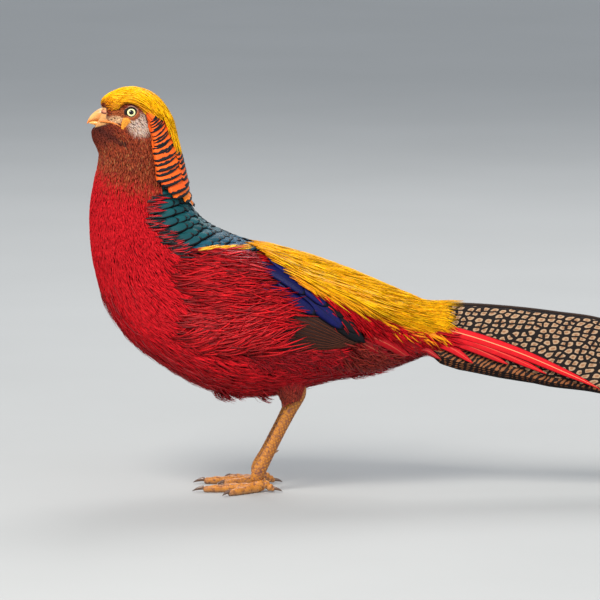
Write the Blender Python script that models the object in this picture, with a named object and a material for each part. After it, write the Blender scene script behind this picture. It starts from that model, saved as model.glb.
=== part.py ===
"""A golden pheasant cock, life size, standing still on both feet with its head up and its tail out behind.

The bird faces -X, its left side is -Y, and Z is up. Sizes are in millimetres and become metres by MM.
Each stretch of the body is a loft through upright sections of the side view, and its feathers are laid on
it by two numbers: a station along the body and an angle round it from the line of the back."""

import math
import random

import bpy
import bmesh
from mathutils import Matrix, Vector

MM = 0.001
GAP = 0.35

# Body sections from the bill root to the tail root, each the upper point, the lower point, the half width
# and the lean, which is the share by which the lower half is fuller than the upper.
BODY = (
    (-126.7, 327.3, -130.9, 312.8, 6.5, 0.00),
    (-120.7, 334.1, -133.0, 308.6, 10.0, 0.00),
    (-109.7, 338.2, -133.9, 304.3, 12.6, 0.00),
    (-94.8, 337.6, -133.0, 298.8, 14.8, 0.00),
    (-82.0, 328.4, -130.1, 292.4, 16.8, 0.00),
    (-72.2, 313.3, -127.9, 286.0, 18.4, 0.00),
    (-66.6, 297.5, -128.8, 277.5, 20.0, 0.02),
    (-62.4, 280.5, -132.2, 262.7, 23.0, 0.05),
    (-58.6, 263.5, -135.6, 241.4, 28.0, 0.08),
    (-53.6, 247.5, -135.6, 215.9, 34.0, 0.10),
    (-45.5, 235.0, -132.2, 190.4, 40.0, 0.12),
    (-35.3, 226.3, -123.3, 160.7, 46.0, 0.14),
    (-20.9, 219.0, -103.7, 130.1, 52.0, 0.15),
    (-3.2, 212.3, -74.0, 107.1, 56.0, 0.15),
    (16.3, 206.6, -38.3, 87.6, 58.0, 0.14),
    (39.2, 200.4, -2.6, 80.8, 57.0, 0.12),
    (64.6, 192.2, 33.2, 84.2, 53.0, 0.10),
    (90.0, 182.6, 67.2, 93.5, 46.0, 0.08),
    (115.5, 171.6, 100.3, 99.5, 37.0, 0.05),
    (136.8, 163.4, 129.2, 108.0, 28.5, 0.02),
    (152.0, 159.6, 152.0, 116.0, 21.0, 0.00),
    (176.0, 160.6, 176.0, 113.0, 21.0, 0.00),
    (200.0, 159.0, 200.0, 109.0, 20.0, 0.00),
)
ROUNDNESS = 2.15
HEAD_END, NECK_END, TORSO_END = 5.5, 9.4, 20.0
RING_CLEAR = 0.1
BODY_SIDES = 24

# Bill sections from the tip inwards: the upper point, the lower point and the half width.
BILL_UPPER = (
    (-138.0, 313.2, -137.9, 311.6, 0.5),
    (-135.6, 318.0, -135.2, 313.6, 2.0),
    (-131.6, 322.2, -130.8, 314.6, 3.5),
    (-126.4, 325.2, -125.6, 314.2, 4.9),
    (-119.0, 326.6, -118.6, 313.4, 5.6),
)
BILL_LOWER = (
    (-135.4, 312.8, -135.2, 311.9, 0.6),
    (-131.6, 313.9, -131.0, 310.4, 2.6),
    (-126.4, 313.6, -126.0, 308.8, 4.1),
    (-119.0, 312.8, -118.8, 307.6, 4.9),
)
BILL_SIDES = 12
NOSTRIL = (-124.0, 320.6)
NOSTRIL_SIZE = (1.7, 1.4, 0.7)
GAPE = ((-123.6, 314.2), (-117.0, 313.8), (-111.5, 312.4))
GAPE_RADIUS = 0.6

EYE = (-100.0, 322.9)
EYE_RADIUS = 6.0
EYE_DEPTH = 4.4
LID_RADIUS, LID_THICKNESS = 4.7, 0.9
WATTLE = (-101.5, 314.0)
WATTLE_SIZE = (2.6, 1.3, 3.0)

# The tail is a roof of feathers. Its ridge is given by distance behind the origin, and its two slopes
# bend from near level at the ridge to steep at the eaves.
RIDGE = (
    (150.0, 157.4),
    (176.0, 158.2),
    (220.0, 155.6),
    (260.0, 151.0),
    (300.0, 144.6),
    (400.0, 127.2),
    (520.0, 104.6),
    (660.0, 76.8),
    (830.0, 43.0),
)
EAVE_ACROSS, EAVE_DOWN = 0.309, 0.951
RIDGE_ACROSS, RIDGE_DOWN = 0.966, 0.259
RIDGE_SOFTNESS = 10.0
TAIL_START = 152.4

# The lower edge of the middle tail feathers, below the ridge, by distance behind the origin.
TAIL_EDGE = (
    (152.4, 22.0), (176.0, 40.0), (205.0, 52.0), (240.0, 61.0), (290.0, 66.0), (350.0, 65.0),
    (430.0, 58.0), (520.0, 48.0), (610.0, 38.0), (700.0, 27.0), (780.0, 16.0), (829.0, 3.0),
)
# The lower edge of the outer tail feathers together, in the same terms.
OUTER_EDGE = (
    (152.4, 48.0), (162.0, 57.0), (176.0, 62.0), (212.0, 68.0), (253.0, 73.0), (300.0, 74.5), (640.0, 66.0),
)
OUTER_TIPS = (640.0, 500.0, 400.0, 310.0)
OUTER_LIFT, OUTER_STEP, OUTER_WIDTH, OUTER_FAN, OUTER_RISE = 1.3, 1.1, 30.0, 1.6, 14.0

# The scarlet feathers beside the tail: the tip's x and height, and the root's place below the ridge.
COVERTS = (
    (189.0, 107.0, 44.0), (216.0, 107.0, 41.0), (252.0, 97.0, 38.0), (278.0, 91.0, 34.0),
    (302.0, 83.0, 30.0),
)
COVERT_LIFT, COVERT_HALF, COVERT_STEP, COVERT_THICKNESS = 0.5, 5.5, 0.9, 0.6

# The roots that hold the outer feathers and the scarlet ones: x, and the upper and lower edge.
OUTER_ROOT = ((TAIL_START, 24.0, 47.0), (TAIL_START + 10, 26.0, 56.0))
OUTER_ROOT_RISE = 0.15
COVERT_ROOT = ((TAIL_START, 26.0, 46.0), (TAIL_START + 9, 27.0, 50.0))
COVERT_ROOT_SUNK, COVERT_ROOT_CLEAR, COVERT_SUNK, COVERT_CURVE = 0.4, 0.2, 0.5, 0.8

# Feathers on the body are set by a station and an angle from the back line. BASE is the gap under them,
# CORE_SHARE how far towards the feather tips a core reaches, and each LIFT how far the tips stand off.
BASE, CORE_SHARE, CORE_LEAST = 0.7, 0.42, 0.95
VANE, TIP_THINNING, ROOT_LIFT, ROOT_SUNK = 0.65, 0.7, 1.15, 0.35

# A lock or vane is given by its width at shares of the way from root to tip.
LOCK_SPREAD = 0.93
CREST_LOCK = ((0.0, 0.75), (0.4, 1.0), (0.8, 0.8), (1.0, 0.25))
CREST_RISE = (0.0, 0.45, 0.85, 1.0)
CAPE_VANE = ((0.0, 0.8), (0.5, 1.0), (1.0, 0.95))
RUMP_LOCK = ((0.0, 0.8), (0.35, 1.0), (0.75, 0.8), (1.0, 0.2))
WING_VANE = ((0.0, 0.8), (0.25, 1.0), (0.5, 1.0), (0.75, 0.75), (1.0, 0.2))
WING_RISE = (0.0, 0.45, 0.8, 1.0, 1.0)
OUTER_VANE = ((0.0, 0.6), (0.2, 1.0), (0.4, 1.0), (0.6, 0.9), (0.8, 0.7), (1.0, 0.2))
COVERT_VANE = ((0.0, 0.7), (0.2, 1.0), (0.4, 1.0), (0.6, 0.9), (0.8, 0.65), (1.0, 0.1))

CREST_EDGE = (
    (0.7, 66.0), (2.1, 70.0), (2.7, 62.0), (3.2, 52.0), (3.6, 46.0), (4.5, 44.0), (4.75, 24.0), (6.6, 18.0),
)
CREST_LIFT = (
    (0.0, 2.5), (1.0, 2.5), (2.0, 3.0), (3.0, 4.4), (4.0, 5.8), (5.0, 8.3), (6.0, 8.2), (6.6, 6.8),
)
CREST_SIDE_END, CREST_HANGING = 4.5, 20.0
CREST_STATIONS, CREST_INSET, CREST_THINNING = (1.0, 5.5), 3.0, 0.45
# Rows of the crest: root station, tip station, half angle and number of locks.
CREST_ROWS = (
    (1.0, 2.7, 61.0, 4), (2.2, 4.1, 54.0, 5), (3.4, 5.3, 44.0, 4), (4.4, 6.2, 24.0, 2), (5.1, 6.7, 18.0, 2),
)

CAPE_INNER = ((4.8, 28.0), (5.9, 28.0), (6.3, 2.5), (9.9, 2.5))
CAPE_FRONT = ((4.6, 54.0), (5.65, 59.0), (7.0, 63.0), (7.9, 63.0), (8.5, 50.0), (8.9, 44.0), (9.4, 30.0))
CAPE_LIFT = ((4.6, 3.6), (6.0, 4.6), (7.0, 6.8), (8.5, 7.2), (9.2, 6.0), (9.9, 3.0))
CAPE_REACH, CAPE_START = 1.1, 4.95
CAPE_STATIONS, CAPE_INSET, CAPE_THINNING, CAPE_FULL = (5.0, 9.0), 4.0, 0.6, 15.0
# Tiers of the cape: tip station, inner and outer angle, and number of feathers a side.
CAPE_TIERS = (
    (5.5, 28.0, 57.0, 1), (6.1, 28.0, 60.0, 1), (6.7, 26.0, 62.0, 1), (7.3, 2.5, 63.0, 2),
    (7.9, 2.5, 63.0, 2), (8.5, 2.5, 52.0, 2), (9.05, 2.5, 38.0, 2), (9.6, 2.5, 22.0, 1),
)

RUMP_EDGE = (
    (13.2, 8.0), (13.5, 22.0), (14.1, 33.0), (14.8, 47.0), (15.3, 53.0), (16.0, 61.0), (16.85, 78.0),
    (17.3, 88.0), (17.7, 104.0), (18.3, 109.0), (19.3, 110.0), (20.0, 108.0), (21.2, 84.0),
)
RUMP_LIFT, RUMP_INSET = 3.7, 0.93
# Rows of the rump: root station, tip station and number of locks.
RUMP_ROWS = ((13.6, 16.2, 3), (15.4, 18.0, 5), (17.0, 19.6, 6), (18.5, 21.1, 5))
# Stations of the rump's core, closer where the body curves most.
RUMP_STATIONS = (13.5, 14.5, 15.5, 16.25, 16.75, 17.25, 18.0, 19.0, 20.0, 20.5)

WING_LIFT = 6.5
WING_STATIONS, WING_INSET, WING_CORE_LOW = (13.5, 14.0, 14.5, 15.0), 4.0, 103.0
# Wing feathers, from the innermost layer out: root and tip in the side view, half width, and the lift of
# the root and of the tip.
WING_FEATHERS = (
    ((12.0, 123.5), (80.0, 122.8), 3.8, 1.3, 1.3),
    ((12.0, 130.0), (84.0, 123.4), 3.8, 1.4, 1.9),
    ((12.0, 137.0), (87.0, 124.2), 3.8, 1.5, 2.5),
    ((12.0, 145.0), (90.0, 125.6), 3.9, 1.6, 3.1),
    ((12.0, 154.0), (92.0, 127.4), 4.0, 1.7, 3.7),
    ((15.0, 190.0), (95.0, 126.5), 4.3, 1.8, 4.4),
    ((4.0, 172.0), (77.9, 137.4), 7.0, 1.9, 5.1),
    ((4.0, 184.0), (57.8, 149.6), 6.2, 2.0, 5.8),
    ((4.0, 194.0), (44.7, 164.7), 3.8, 2.1, 6.5),
)

LEG_SPREAD = 23.0
HOCK = (41.5, 84.0)
ANKLE = (6.7, 14.9)
# Radii of the tarsus from the hock down.
TARSUS_RADII = (6.2, 5.4, 4.9, 4.9, 5.1, 5.8)
TARSUS_WIDTH = 0.8
SPUR_HEIGHT, SPUR_LENGTH, SPUR_RADIUS = 33.0, 6.0, 1.7
THIGH_LINE = ((30.0, 104.0), (33.5, 90.0), (34.5, 72.5))
THIGH_RADII = (17.0, 13.0, 7.2)

PAD_RISE, PAD_SIZE = 6.0, (6.5, 5.5, 5.8)
# Toes of the left foot: the turn from straight ahead, outwards positive, the length, the root radius,
# the tip radius and the claw length.
TOES = {
    "inner": (-24.0, 33.0, 4.0, 2.9, 7.0),
    "middle": (2.0, 47.0, 4.3, 3.0, 9.0),
    "outer": (44.0, 35.0, 4.0, 2.9, 7.0),
    "hind": (168.0, 14.0, 3.6, 2.6, 6.5),
}
HIND_RISE, KNUCKLE = 6.0, 0.35
SOLE_CUT = 0.5
CLAW_GAP = 0.8

SCARLET = (0.60, 0.02, 0.03)
RUST = (0.36, 0.10, 0.04)
GOLD = (0.95, 0.52, 0.02)
ORANGE = (0.90, 0.24, 0.03)
SPOTTED = (0.10, 0.06, 0.04)
WING_BLUE = (0.03, 0.04, 0.18)
LEG_YELLOW = (0.55, 0.28, 0.07)
HORN = (0.72, 0.45, 0.18)
IRIS = (0.85, 0.78, 0.30)

LEFT, RIGHT = -1.0, 1.0
draw = random.Random(11)
SIDES = (("left", LEFT), ("right", RIGHT))


def spline(rows, s):
    """Catmull-Rom through the rows of a table, read at the real-numbered row s."""
    last = len(rows) - 1
    i = max(0, min(int(s), last - 1))
    f = s - i
    near = [rows[min(max(k, 0), last)] for k in (i - 1, i, i + 1, i + 2)]
    return [
        0.5 * (2 * b + (c - a) * f + (2 * a - 5 * b + 4 * c - d) * f * f + (3 * b - a - 3 * c + d) * f ** 3)
        for a, b, c, d in zip(*near)
    ]


def power(value, exponent):
    """A signed power, which squares off an ellipse a little."""
    return math.copysign(abs(value) ** exponent, value)


def section_point(top_x, top_z, low_x, low_z, half_width, angle, lean=0.0, grow=0.0):
    """A point of a section at an angle in radians from its upper point, towards the left side."""
    top, low = Vector((top_x, 0, top_z)), Vector((low_x, 0, low_z))
    up = top - low
    half = up.length / 2 + grow
    up.normalize()
    shape = 2 / ROUNDNESS
    rise = power(math.cos(angle), shape)
    reach = power(math.sin(angle), shape) * (1 - lean * math.cos(angle))
    return (top + low) / 2 + up * half * rise + Vector((0, LEFT * (half_width + grow) * reach, 0))


def body_point(s, degrees, lift=0.0):
    """A point on the plumage at station s: 0 degrees is the back line, 90 the left flank, 180 the belly."""
    top_x, top_z, low_x, low_z, half_width, lean = spline(BODY, s)
    angle = math.radians(degrees)
    point = section_point(top_x, top_z, low_x, low_z, half_width, angle, lean)
    return point + body_normal(s, degrees) * lift if lift else point


def body_normal(s, degrees):
    """The outward direction at a point on the plumage."""
    step, turn = 0.03, 1.0
    along = body_point(s + step, degrees) - body_point(s - step, degrees)
    around = body_point(s, degrees + turn) - body_point(s, degrees - turn)
    return around.cross(along).normalized()


def ridge_height(x):
    """The height of the tail's ridge at a distance x behind the origin, and its slope."""
    i = max(k for k in range(len(RIDGE) - 1) if k == 0 or RIDGE[k][0] <= x)
    f = (x - RIDGE[i][0]) / (RIDGE[i + 1][0] - RIDGE[i][0])
    return spline(RIDGE, i + f)[1]


def tail_point(x, down, side, lift=0.0):
    """A point on the tail's roof: down is the way from the ridge to the eave, negative past the ridge."""
    if down < 0:
        down, side = -down, -side
    ease = RIDGE_SOFTNESS * (1 - math.exp(-down / RIDGE_SOFTNESS))
    fade = math.exp(-down / RIDGE_SOFTNESS)
    across = EAVE_ACROSS * down + (RIDGE_ACROSS - EAVE_ACROSS) * ease
    drop = EAVE_DOWN * down - (EAVE_DOWN - RIDGE_DOWN) * ease
    out_y = EAVE_DOWN - (EAVE_DOWN - RIDGE_DOWN) * fade
    out_z = EAVE_ACROSS + (RIDGE_ACROSS - EAVE_ACROSS) * fade
    point = Vector((x, side * across, ridge_height(x) - drop))
    return point + Vector((0, side * out_y, out_z)) * lift


def paint(obj, colour, roughness=0.6):
    """Gives a sub-part its own material."""
    material = bpy.data.materials.new(obj.name)
    material.use_nodes = True
    shader = material.node_tree.nodes["Principled BSDF"]
    shader.inputs["Base Color"].default_value = (*colour, 1)
    shader.inputs["Roughness"].default_value = roughness
    obj.data.materials.clear()
    obj.data.materials.append(material)
    return obj


def link_mesh(name, bm):
    """Makes an object of a closed mesh whose points are in millimetres."""
    bmesh.ops.triangulate(bm, faces=[f for f in bm.faces if len(f.verts) > 3])
    bmesh.ops.recalc_face_normals(bm, faces=bm.faces)
    bmesh.ops.scale(bm, vec=(MM, MM, MM), verts=bm.verts)
    mesh = bpy.data.meshes.new(name)
    bm.to_mesh(mesh)
    bm.free()
    obj = bpy.data.objects.new(name, mesh)
    bird.objects.link(obj)
    return obj


def loft(name, rings):
    """A closed solid through rings of points, with flat ends."""
    bm = bmesh.new()
    rows = [[bm.verts.new(p) for p in ring] for ring in rings]
    for near, far in zip(rows, rows[1:]):
        for i, vertex in enumerate(near):
            j = (i + 1) % len(near)
            bm.faces.new((vertex, near[j], far[j], far[i]))
    bm.faces.new(rows[0])
    bm.faces.new(rows[-1])
    return link_mesh(name, bm)


def slab(name, upper, lower):
    """A thin solid between two like grids of points. Each cell is split on its prouder diagonal, alike on
    both faces, so that nothing dips towards what lies under it."""
    bm = bmesh.new()
    top = [[bm.verts.new(p) for p in row] for row in upper]
    low = [[bm.verts.new(p) for p in row] for row in lower]
    rows, columns = len(top), len(top[0])
    for i in range(rows - 1):
        for j in range(columns - 1):
            cell = ((i, j), (i, j + 1), (i + 1, j + 1), (i + 1, j))
            a, b, c, d = (upper[m][n] for m, n in cell)
            if (a + c - b - d).dot(a - lower[i][j]) < 0:
                cell = cell[1:] + cell[:1]
            for grid, turn in ((top, 1), (low, -1)):
                a, b, c, d = (grid[m][n] for m, n in cell)
                bm.faces.new((a, b, c)[::turn])
                bm.faces.new((a, c, d)[::turn])
    rim = [(0, j) for j in range(columns)]
    rim += [(i, columns - 1) for i in range(1, rows)]
    rim += [(rows - 1, j) for j in range(columns - 2, -1, -1)]
    rim += [(i, 0) for i in range(rows - 2, 0, -1)]
    for (i, j), (k, m) in zip(rim, rim[1:] + rim[:1]):
        bm.faces.new((top[i][j], low[i][j], low[k][m], top[k][m]))
    return link_mesh(name, bm)


def tube(name, points, radii, sides=8, squash=1.0):
    """A closed tube along points in millimetres, made as a bevelled curve and turned into a mesh."""
    curve = bpy.data.curves.new(name, "CURVE")
    curve.dimensions = "3D"
    curve.bevel_depth = MM
    curve.bevel_resolution = max(0, sides // 2 - 2)
    curve.use_fill_caps = True
    line = curve.splines.new("POLY")
    line.points.add(len(points) - 1)
    for knot, place, radius in zip(line.points, points, radii):
        knot.co = (place[0] * MM, place[1] * MM / squash, place[2] * MM, 1)
        knot.radius = radius
    drawn = bpy.data.objects.new(name, curve)
    bird.objects.link(drawn)
    graph = bpy.context.evaluated_depsgraph_get()
    mesh = bpy.data.meshes.new_from_object(drawn.evaluated_get(graph))
    bpy.data.objects.remove(drawn)
    bm = bmesh.new()
    bm.from_mesh(mesh)
    bmesh.ops.remove_doubles(bm, verts=bm.verts, dist=1e-5)
    bmesh.ops.triangulate(bm, faces=bm.faces)
    bmesh.ops.scale(bm, vec=(1, squash, 1), verts=bm.verts)
    bmesh.ops.recalc_face_normals(bm, faces=bm.faces)
    bm.to_mesh(mesh)
    bm.free()
    obj = bpy.data.objects.new(name, mesh)
    bird.objects.link(obj)
    return obj


def ball(name, centre, size, segments=16, rings=10):
    """An ellipsoid with its half sizes."""
    bpy.ops.mesh.primitive_uv_sphere_add(segments=segments, ring_count=rings, radius=1)
    obj = bpy.context.object
    obj.name = name
    obj.data.transform(unit_to(centre, size))
    for collection in list(obj.users_collection):
        collection.objects.unlink(obj)
    bird.objects.link(obj)
    return obj


def block(name, centre, size):
    """A box with its half sizes."""
    bpy.ops.mesh.primitive_cube_add(size=2)
    obj = bpy.context.object
    obj.name = name
    obj.data.transform(unit_to(centre, size))
    for collection in list(obj.users_collection):
        collection.objects.unlink(obj)
    bird.objects.link(obj)
    return obj


def unit_to(centre, size):
    """The matrix that carries a unit form to a centre and half sizes in millimetres."""
    return Matrix.Translation(Vector(centre) * MM) @ Matrix.Diagonal((*(v * MM for v in size), 1))


def boolean(obj, others, operation, solver="EXACT"):
    """Joins or cuts obj with the others in one Boolean, removes them and keeps the largest surface."""
    group = bpy.data.collections.new("cutters")
    bpy.context.scene.collection.children.link(group)
    for other in others:
        bird.objects.unlink(other)
        group.objects.link(other)
    modifier = obj.modifiers.new("join", "BOOLEAN")
    modifier.operation = operation
    modifier.solver = solver
    modifier.operand_type = "COLLECTION"
    modifier.collection = group
    graph = bpy.context.evaluated_depsgraph_get()
    mesh = bpy.data.meshes.new_from_object(obj.evaluated_get(graph))
    obj.modifiers.remove(modifier)
    obj.data = mesh
    for other in others:
        bpy.data.objects.remove(other)
    bpy.data.collections.remove(group)
    keep_largest(obj)
    return obj


def keep_largest(obj):
    """Drops loose scraps and the walls of sealed hollows."""
    bm = bmesh.new()
    bm.from_mesh(obj.data)
    left, shells = set(bm.verts), []
    while left:
        grown, edge = set(), [left.pop()]
        while edge:
            vertex = edge.pop()
            grown.add(vertex)
            for link in vertex.link_edges:
                other = link.other_vert(vertex)
                if other in left:
                    left.discard(other)
                    edge.append(other)
        shells.append(grown)
    shells.sort(key=len)
    bmesh.ops.delete(bm, geom=[v for shell in shells[:-1] for v in shell], context="VERTS")
    bm.to_mesh(obj.data)
    bm.free()


def steps(start, end, count):
    """Count evenly spaced values from start to end."""
    return [start + (end - start) * i / (count - 1) for i in range(count)]


def body_loft(name, start, end, colour):
    """A stretch of the body between two stations."""
    between = [k / 2 for k in range(2 * len(BODY)) if start + RING_CLEAR < k / 2 < end - RING_CLEAR]
    rings = []
    for s in (start, *between, end):
        row = spline(BODY, s)
        turns = [2 * math.pi * i / BODY_SIDES for i in range(BODY_SIDES)]
        rings.append([section_point(*row[:5], turn, row[5]) for turn in turns])
    return paint(loft(name, rings), colour)


def bill_loft(name, sections, grow=0.0, reach=0.0):
    """A half of the bill, or with grow and reach the socket that it stands in."""
    rows = [spline(sections, s) for s in steps(0, len(sections) - 1, 2 * len(sections) - 1)]
    if reach:
        last = rows[-1]
        rows.append([last[0] + reach, last[1], last[2] + reach, last[3], last[4]])
    turns = [2 * math.pi * i / BILL_SIDES for i in range(BILL_SIDES)]
    return loft(name, [[section_point(*row, turn, grow=grow) for turn in turns] for row in rows])


def side_place(x, z, side, near, far):
    """The station and angle on the body that show at x, z from the side, found by stepping to it."""
    s, degrees, ease = (near + far) / 2, 90.0, 0.7
    for _ in range(40):
        here = body_point(s, degrees)
        by_s = (body_point(s + 0.05, degrees) - here) / 0.05
        by_turn = body_point(s, degrees + 1) - here
        miss_x, miss_z = x - here.x, z - here.z
        span = by_s.x * by_turn.z - by_turn.x * by_s.z
        s += ease * (miss_x * by_turn.z - by_turn.x * miss_z) / span
        degrees += ease * (by_s.x * miss_z - miss_x * by_s.z) / span
        s = min(max(s, near), far)
        degrees = min(max(degrees, 5), 175)
    return s, degrees * (-1 if side == RIGHT else 1)


def build_head():
    """Head with the bill's socket, eye sockets, lids, wattles and the line of the mouth."""
    head = body_loft("head", 0.0, HEAD_END - 0.02, GOLD)
    raised, cutters = [], []
    for word, side in SIDES:
        s, degrees = side_place(*EYE, side, 1.0, 5.0)
        centre = body_point(s, degrees, -EYE_DEPTH)
        normal = body_normal(s, degrees)
        ring_centre = centre + normal * math.sqrt(EYE_RADIUS ** 2 - LID_RADIUS ** 2)
        bpy.ops.mesh.primitive_torus_add(
            major_segments=16, minor_segments=5, major_radius=LID_RADIUS * MM,
            minor_radius=LID_THICKNESS * MM, location=ring_centre * MM,
            rotation=normal.to_track_quat("Z", "Y").to_euler())
        lid = bpy.context.object
        bpy.ops.object.transform_apply(location=True, rotation=True, scale=True)
        for collection in list(lid.users_collection):
            collection.objects.unlink(lid)
        bird.objects.link(lid)
        raised.append(lid)
        s, degrees = side_place(*WATTLE, side, 1.0, 5.0)
        raised.append(ball("wattle", body_point(s, degrees, 0.2), WATTLE_SIZE, 10, 6))
        cutters.append(ball("socket", centre, [EYE_RADIUS + GAP] * 3, 14, 9))
        eye = paint(ball("eye_" + word, centre, [EYE_RADIUS] * 3, 14, 9), IRIS, 0.1)
        eye.data.shade_smooth()
        gape = []
        for x, z in GAPE:
            s, degrees = side_place(x, z, side, 0.1, 5.0)
            gape.append(body_point(s, degrees, -0.1))
        cutters.append(tube("gape_cut", gape, [GAPE_RADIUS] * len(gape), 6))
    boolean(head, raised, "UNION")
    cutters.append(bill_loft("upper_socket", BILL_UPPER, GAP, 1.0))
    cutters.append(bill_loft("lower_socket", BILL_LOWER, GAP, 1.0))
    boolean(head, cutters, "DIFFERENCE")


def build_bill():
    """Upper and lower halves of the bill, with nostrils in the upper."""
    upper = bill_loft("bill_upper", BILL_UPPER)
    nostrils = []
    for _, side in SIDES:
        place = (NOSTRIL[0], side * 5.3, NOSTRIL[1])
        nostrils.append(ball("nostril", place, NOSTRIL_SIZE, 10, 6))
    boolean(upper, nostrils, "DIFFERENCE")
    paint(upper, HORN, 0.4)
    paint(bill_loft("bill_lower", BILL_LOWER), HORN, 0.4)


def along(rows, x):
    """The second value of a table of pairs, read in straight lines at the first value x."""
    for (x0, y0), (x1, y1) in zip(rows, rows[1:]):
        if x <= x1:
            return y0 + (y1 - y0) * max(0.0, (x - x0) / (x1 - x0))
    return rows[-1][1]


def body_core(name, places, reach):
    """The thin core that feathers grow from: a grid of stations and angles, part way to their tips."""
    upper = []
    for row in places:
        lifts = [max(CORE_SHARE * reach(s, a), BASE + CORE_LEAST) for s, a in row]
        upper.append([body_point(s, a, lift) for (s, a), lift in zip(row, lifts)])
    lower = [[body_point(s, a, BASE) for s, a in row] for row in places]
    return slab(name, upper, lower)


def body_vane(name, places, lifts, thickness):
    """A feather laid on the body: rows of stations and angles from root to tip, each row at its lift."""
    upper, lower = [], []
    for i, (row, lift) in enumerate(zip(places, lifts)):
        half = thickness / 2 * (TIP_THINNING if i == len(places) - 1 else 1.0)
        upper.append([body_point(*place, lift + half) for place in row])
        lower.append([body_point(*place, lift - half) for place in row])
    return slab(name, upper, lower)


def build_crest():
    """The silky crest: locks in rows from the forehead over the crown, the last ones over the nape."""
    widest = max(edge for _, edge in CREST_EDGE)

    def reach(s, degrees):
        return along(CREST_LIFT, s) * (1 - CREST_THINNING * (degrees / widest) ** 2)

    places = []
    for s in steps(*CREST_STATIONS, 9):
        half = along(CREST_EDGE, s) - CREST_INSET
        places.append([(s, a) for a in steps(half, -half, 7)])
    core = body_core("crest", places, reach)
    locks = []
    for root, tip, half, count in CREST_ROWS:
        for k in range(count):
            degrees = half * (1 - (2 * k + 1) / count)
            end = (CREST_SIDE_END if abs(degrees) > CREST_HANGING else tip) + draw.uniform(-0.1, 0.1)
            rows = []
            for t, share in CREST_LOCK:
                width = half / count * LOCK_SPREAD * share
                rows.append([(root + (end - root) * t, degrees + width * u) for u in (1, -1)])
            low, high = CORE_SHARE * reach(root, degrees) - ROOT_SUNK, reach(end, degrees)
            lifts = [max(low + (high - low) * t, ROOT_LIFT) for t in CREST_RISE]
            locks.append(body_vane("lock", rows, lifts, VANE))
    boolean(core, locks, "UNION")
    paint(core, GOLD)


def build_cape(word, side):
    """One side of the orange cape: broad, square-ended feathers in tiers down the neck."""
    widest = max(edge for _, edge in CAPE_FRONT)

    def reach(s, degrees):
        outwards = max(0.0, (abs(degrees) - CAPE_FULL) / (widest - CAPE_FULL))
        return along(CAPE_LIFT, s) * (1 - CAPE_THINNING * outwards)

    places = []
    for s in steps(*CAPE_STATIONS, 8):
        inner, outer = along(CAPE_INNER, s), along(CAPE_FRONT, s) - CAPE_INSET
        places.append([(s, a * -side) for a in steps(inner, outer, 4)])
    core = body_core("cape_" + word, places, reach)
    vanes = []
    for tip, inner, outer, count in CAPE_TIERS:
        share = (outer - inner) / count
        root = max(tip - CAPE_REACH, CAPE_START)
        for k in range(count):
            middle = inner + share * (k + 0.5)
            rows = []
            for t, width in CAPE_VANE:
                turns = [middle + share / 2 * LOCK_SPREAD * width * u for u in (-1, 0, 1)]
                rows.append([(root + (tip - root) * t, a * -side) for a in turns])
            low, high = CORE_SHARE * reach(root, middle) - ROOT_SUNK, reach(tip, middle)
            lifts = [max(low + (high - low) * t, ROOT_LIFT) for t, _ in CAPE_VANE]
            vanes.append(body_vane("vane", rows, lifts, VANE))
    boolean(core, vanes, "UNION")
    paint(core, ORANGE)


def build_wing(word, side):
    """One folded wing: shoulder feathers, broad blue inner feathers, and the brown flight feathers."""
    places = []
    for s in WING_STATIONS:
        inner = along(RUMP_EDGE, s) + WING_INSET
        places.append([(s, a * -side) for a in steps(inner, WING_CORE_LOW, 7)])
    core = body_core("wing_" + word, places, lambda s, a: WING_LIFT)
    vanes = []
    for start, end, half, low, high in WING_FEATHERS:
        start, end = Vector(start), Vector(end)
        across = (end - start).orthogonal().normalized()
        if across.y < 0:
            across.negate()
        rows = []
        for t, share in WING_VANE:
            middle = start + (end - start) * t
            spots = [middle + across * (half * share * u) for u in (1, 0, -1)]
            rows.append([side_place(*spot, side, 12.0, 19.0) for spot in spots])
        lifts = [low + (high - low) * t for t in WING_RISE]
        vanes.append(body_vane("vane", rows, lifts, VANE))
    boolean(core, vanes, "UNION")
    paint(core, WING_BLUE)


def build_rump():
    """The golden feathers of the lower back: wide locks in rows, the last ones out over the tail's root."""
    places = []
    for s in RUMP_STATIONS:
        half = along(RUMP_EDGE, s) * RUMP_INSET
        places.append([(s, a) for a in steps(half, -half, 13)])
    core = body_core("rump", places, lambda s, a: RUMP_LIFT)
    locks = []
    for root, tip, count in RUMP_ROWS:
        for k in range(count):
            share = 1 - (2 * k + 1) / count
            end = tip + draw.uniform(-0.15, 0.15)
            rows = []
            for t, width in RUMP_LOCK:
                s = root + (end - root) * t
                edge = along(RUMP_EDGE, s)
                turns = [edge * (share + LOCK_SPREAD * width / count * u) for u in (1, 0, -1)]
                rows.append([(s, a) for a in turns])
            lifts = [ROOT_LIFT + (RUMP_LIFT - ROOT_LIFT) * t for t, _ in RUMP_LOCK]
            locks.append(body_vane("lock", rows, lifts, VANE))
    boolean(core, locks, "UNION")
    paint(core, GOLD)


def tail_slab(name, side, stations, lift, thickness=VANE, columns=4):
    """A piece laid on the tail's roof: stations give x, and the upper and lower edge below the ridge."""
    upper, lower = [], []
    for x, high, low in stations:
        downs = steps(high, low, columns)
        upper.append([tail_point(x, d, side, lift) for d in downs])
        lower.append([tail_point(x, d, side, lift - thickness) for d in downs])
    return slab(name, upper, lower)


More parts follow.
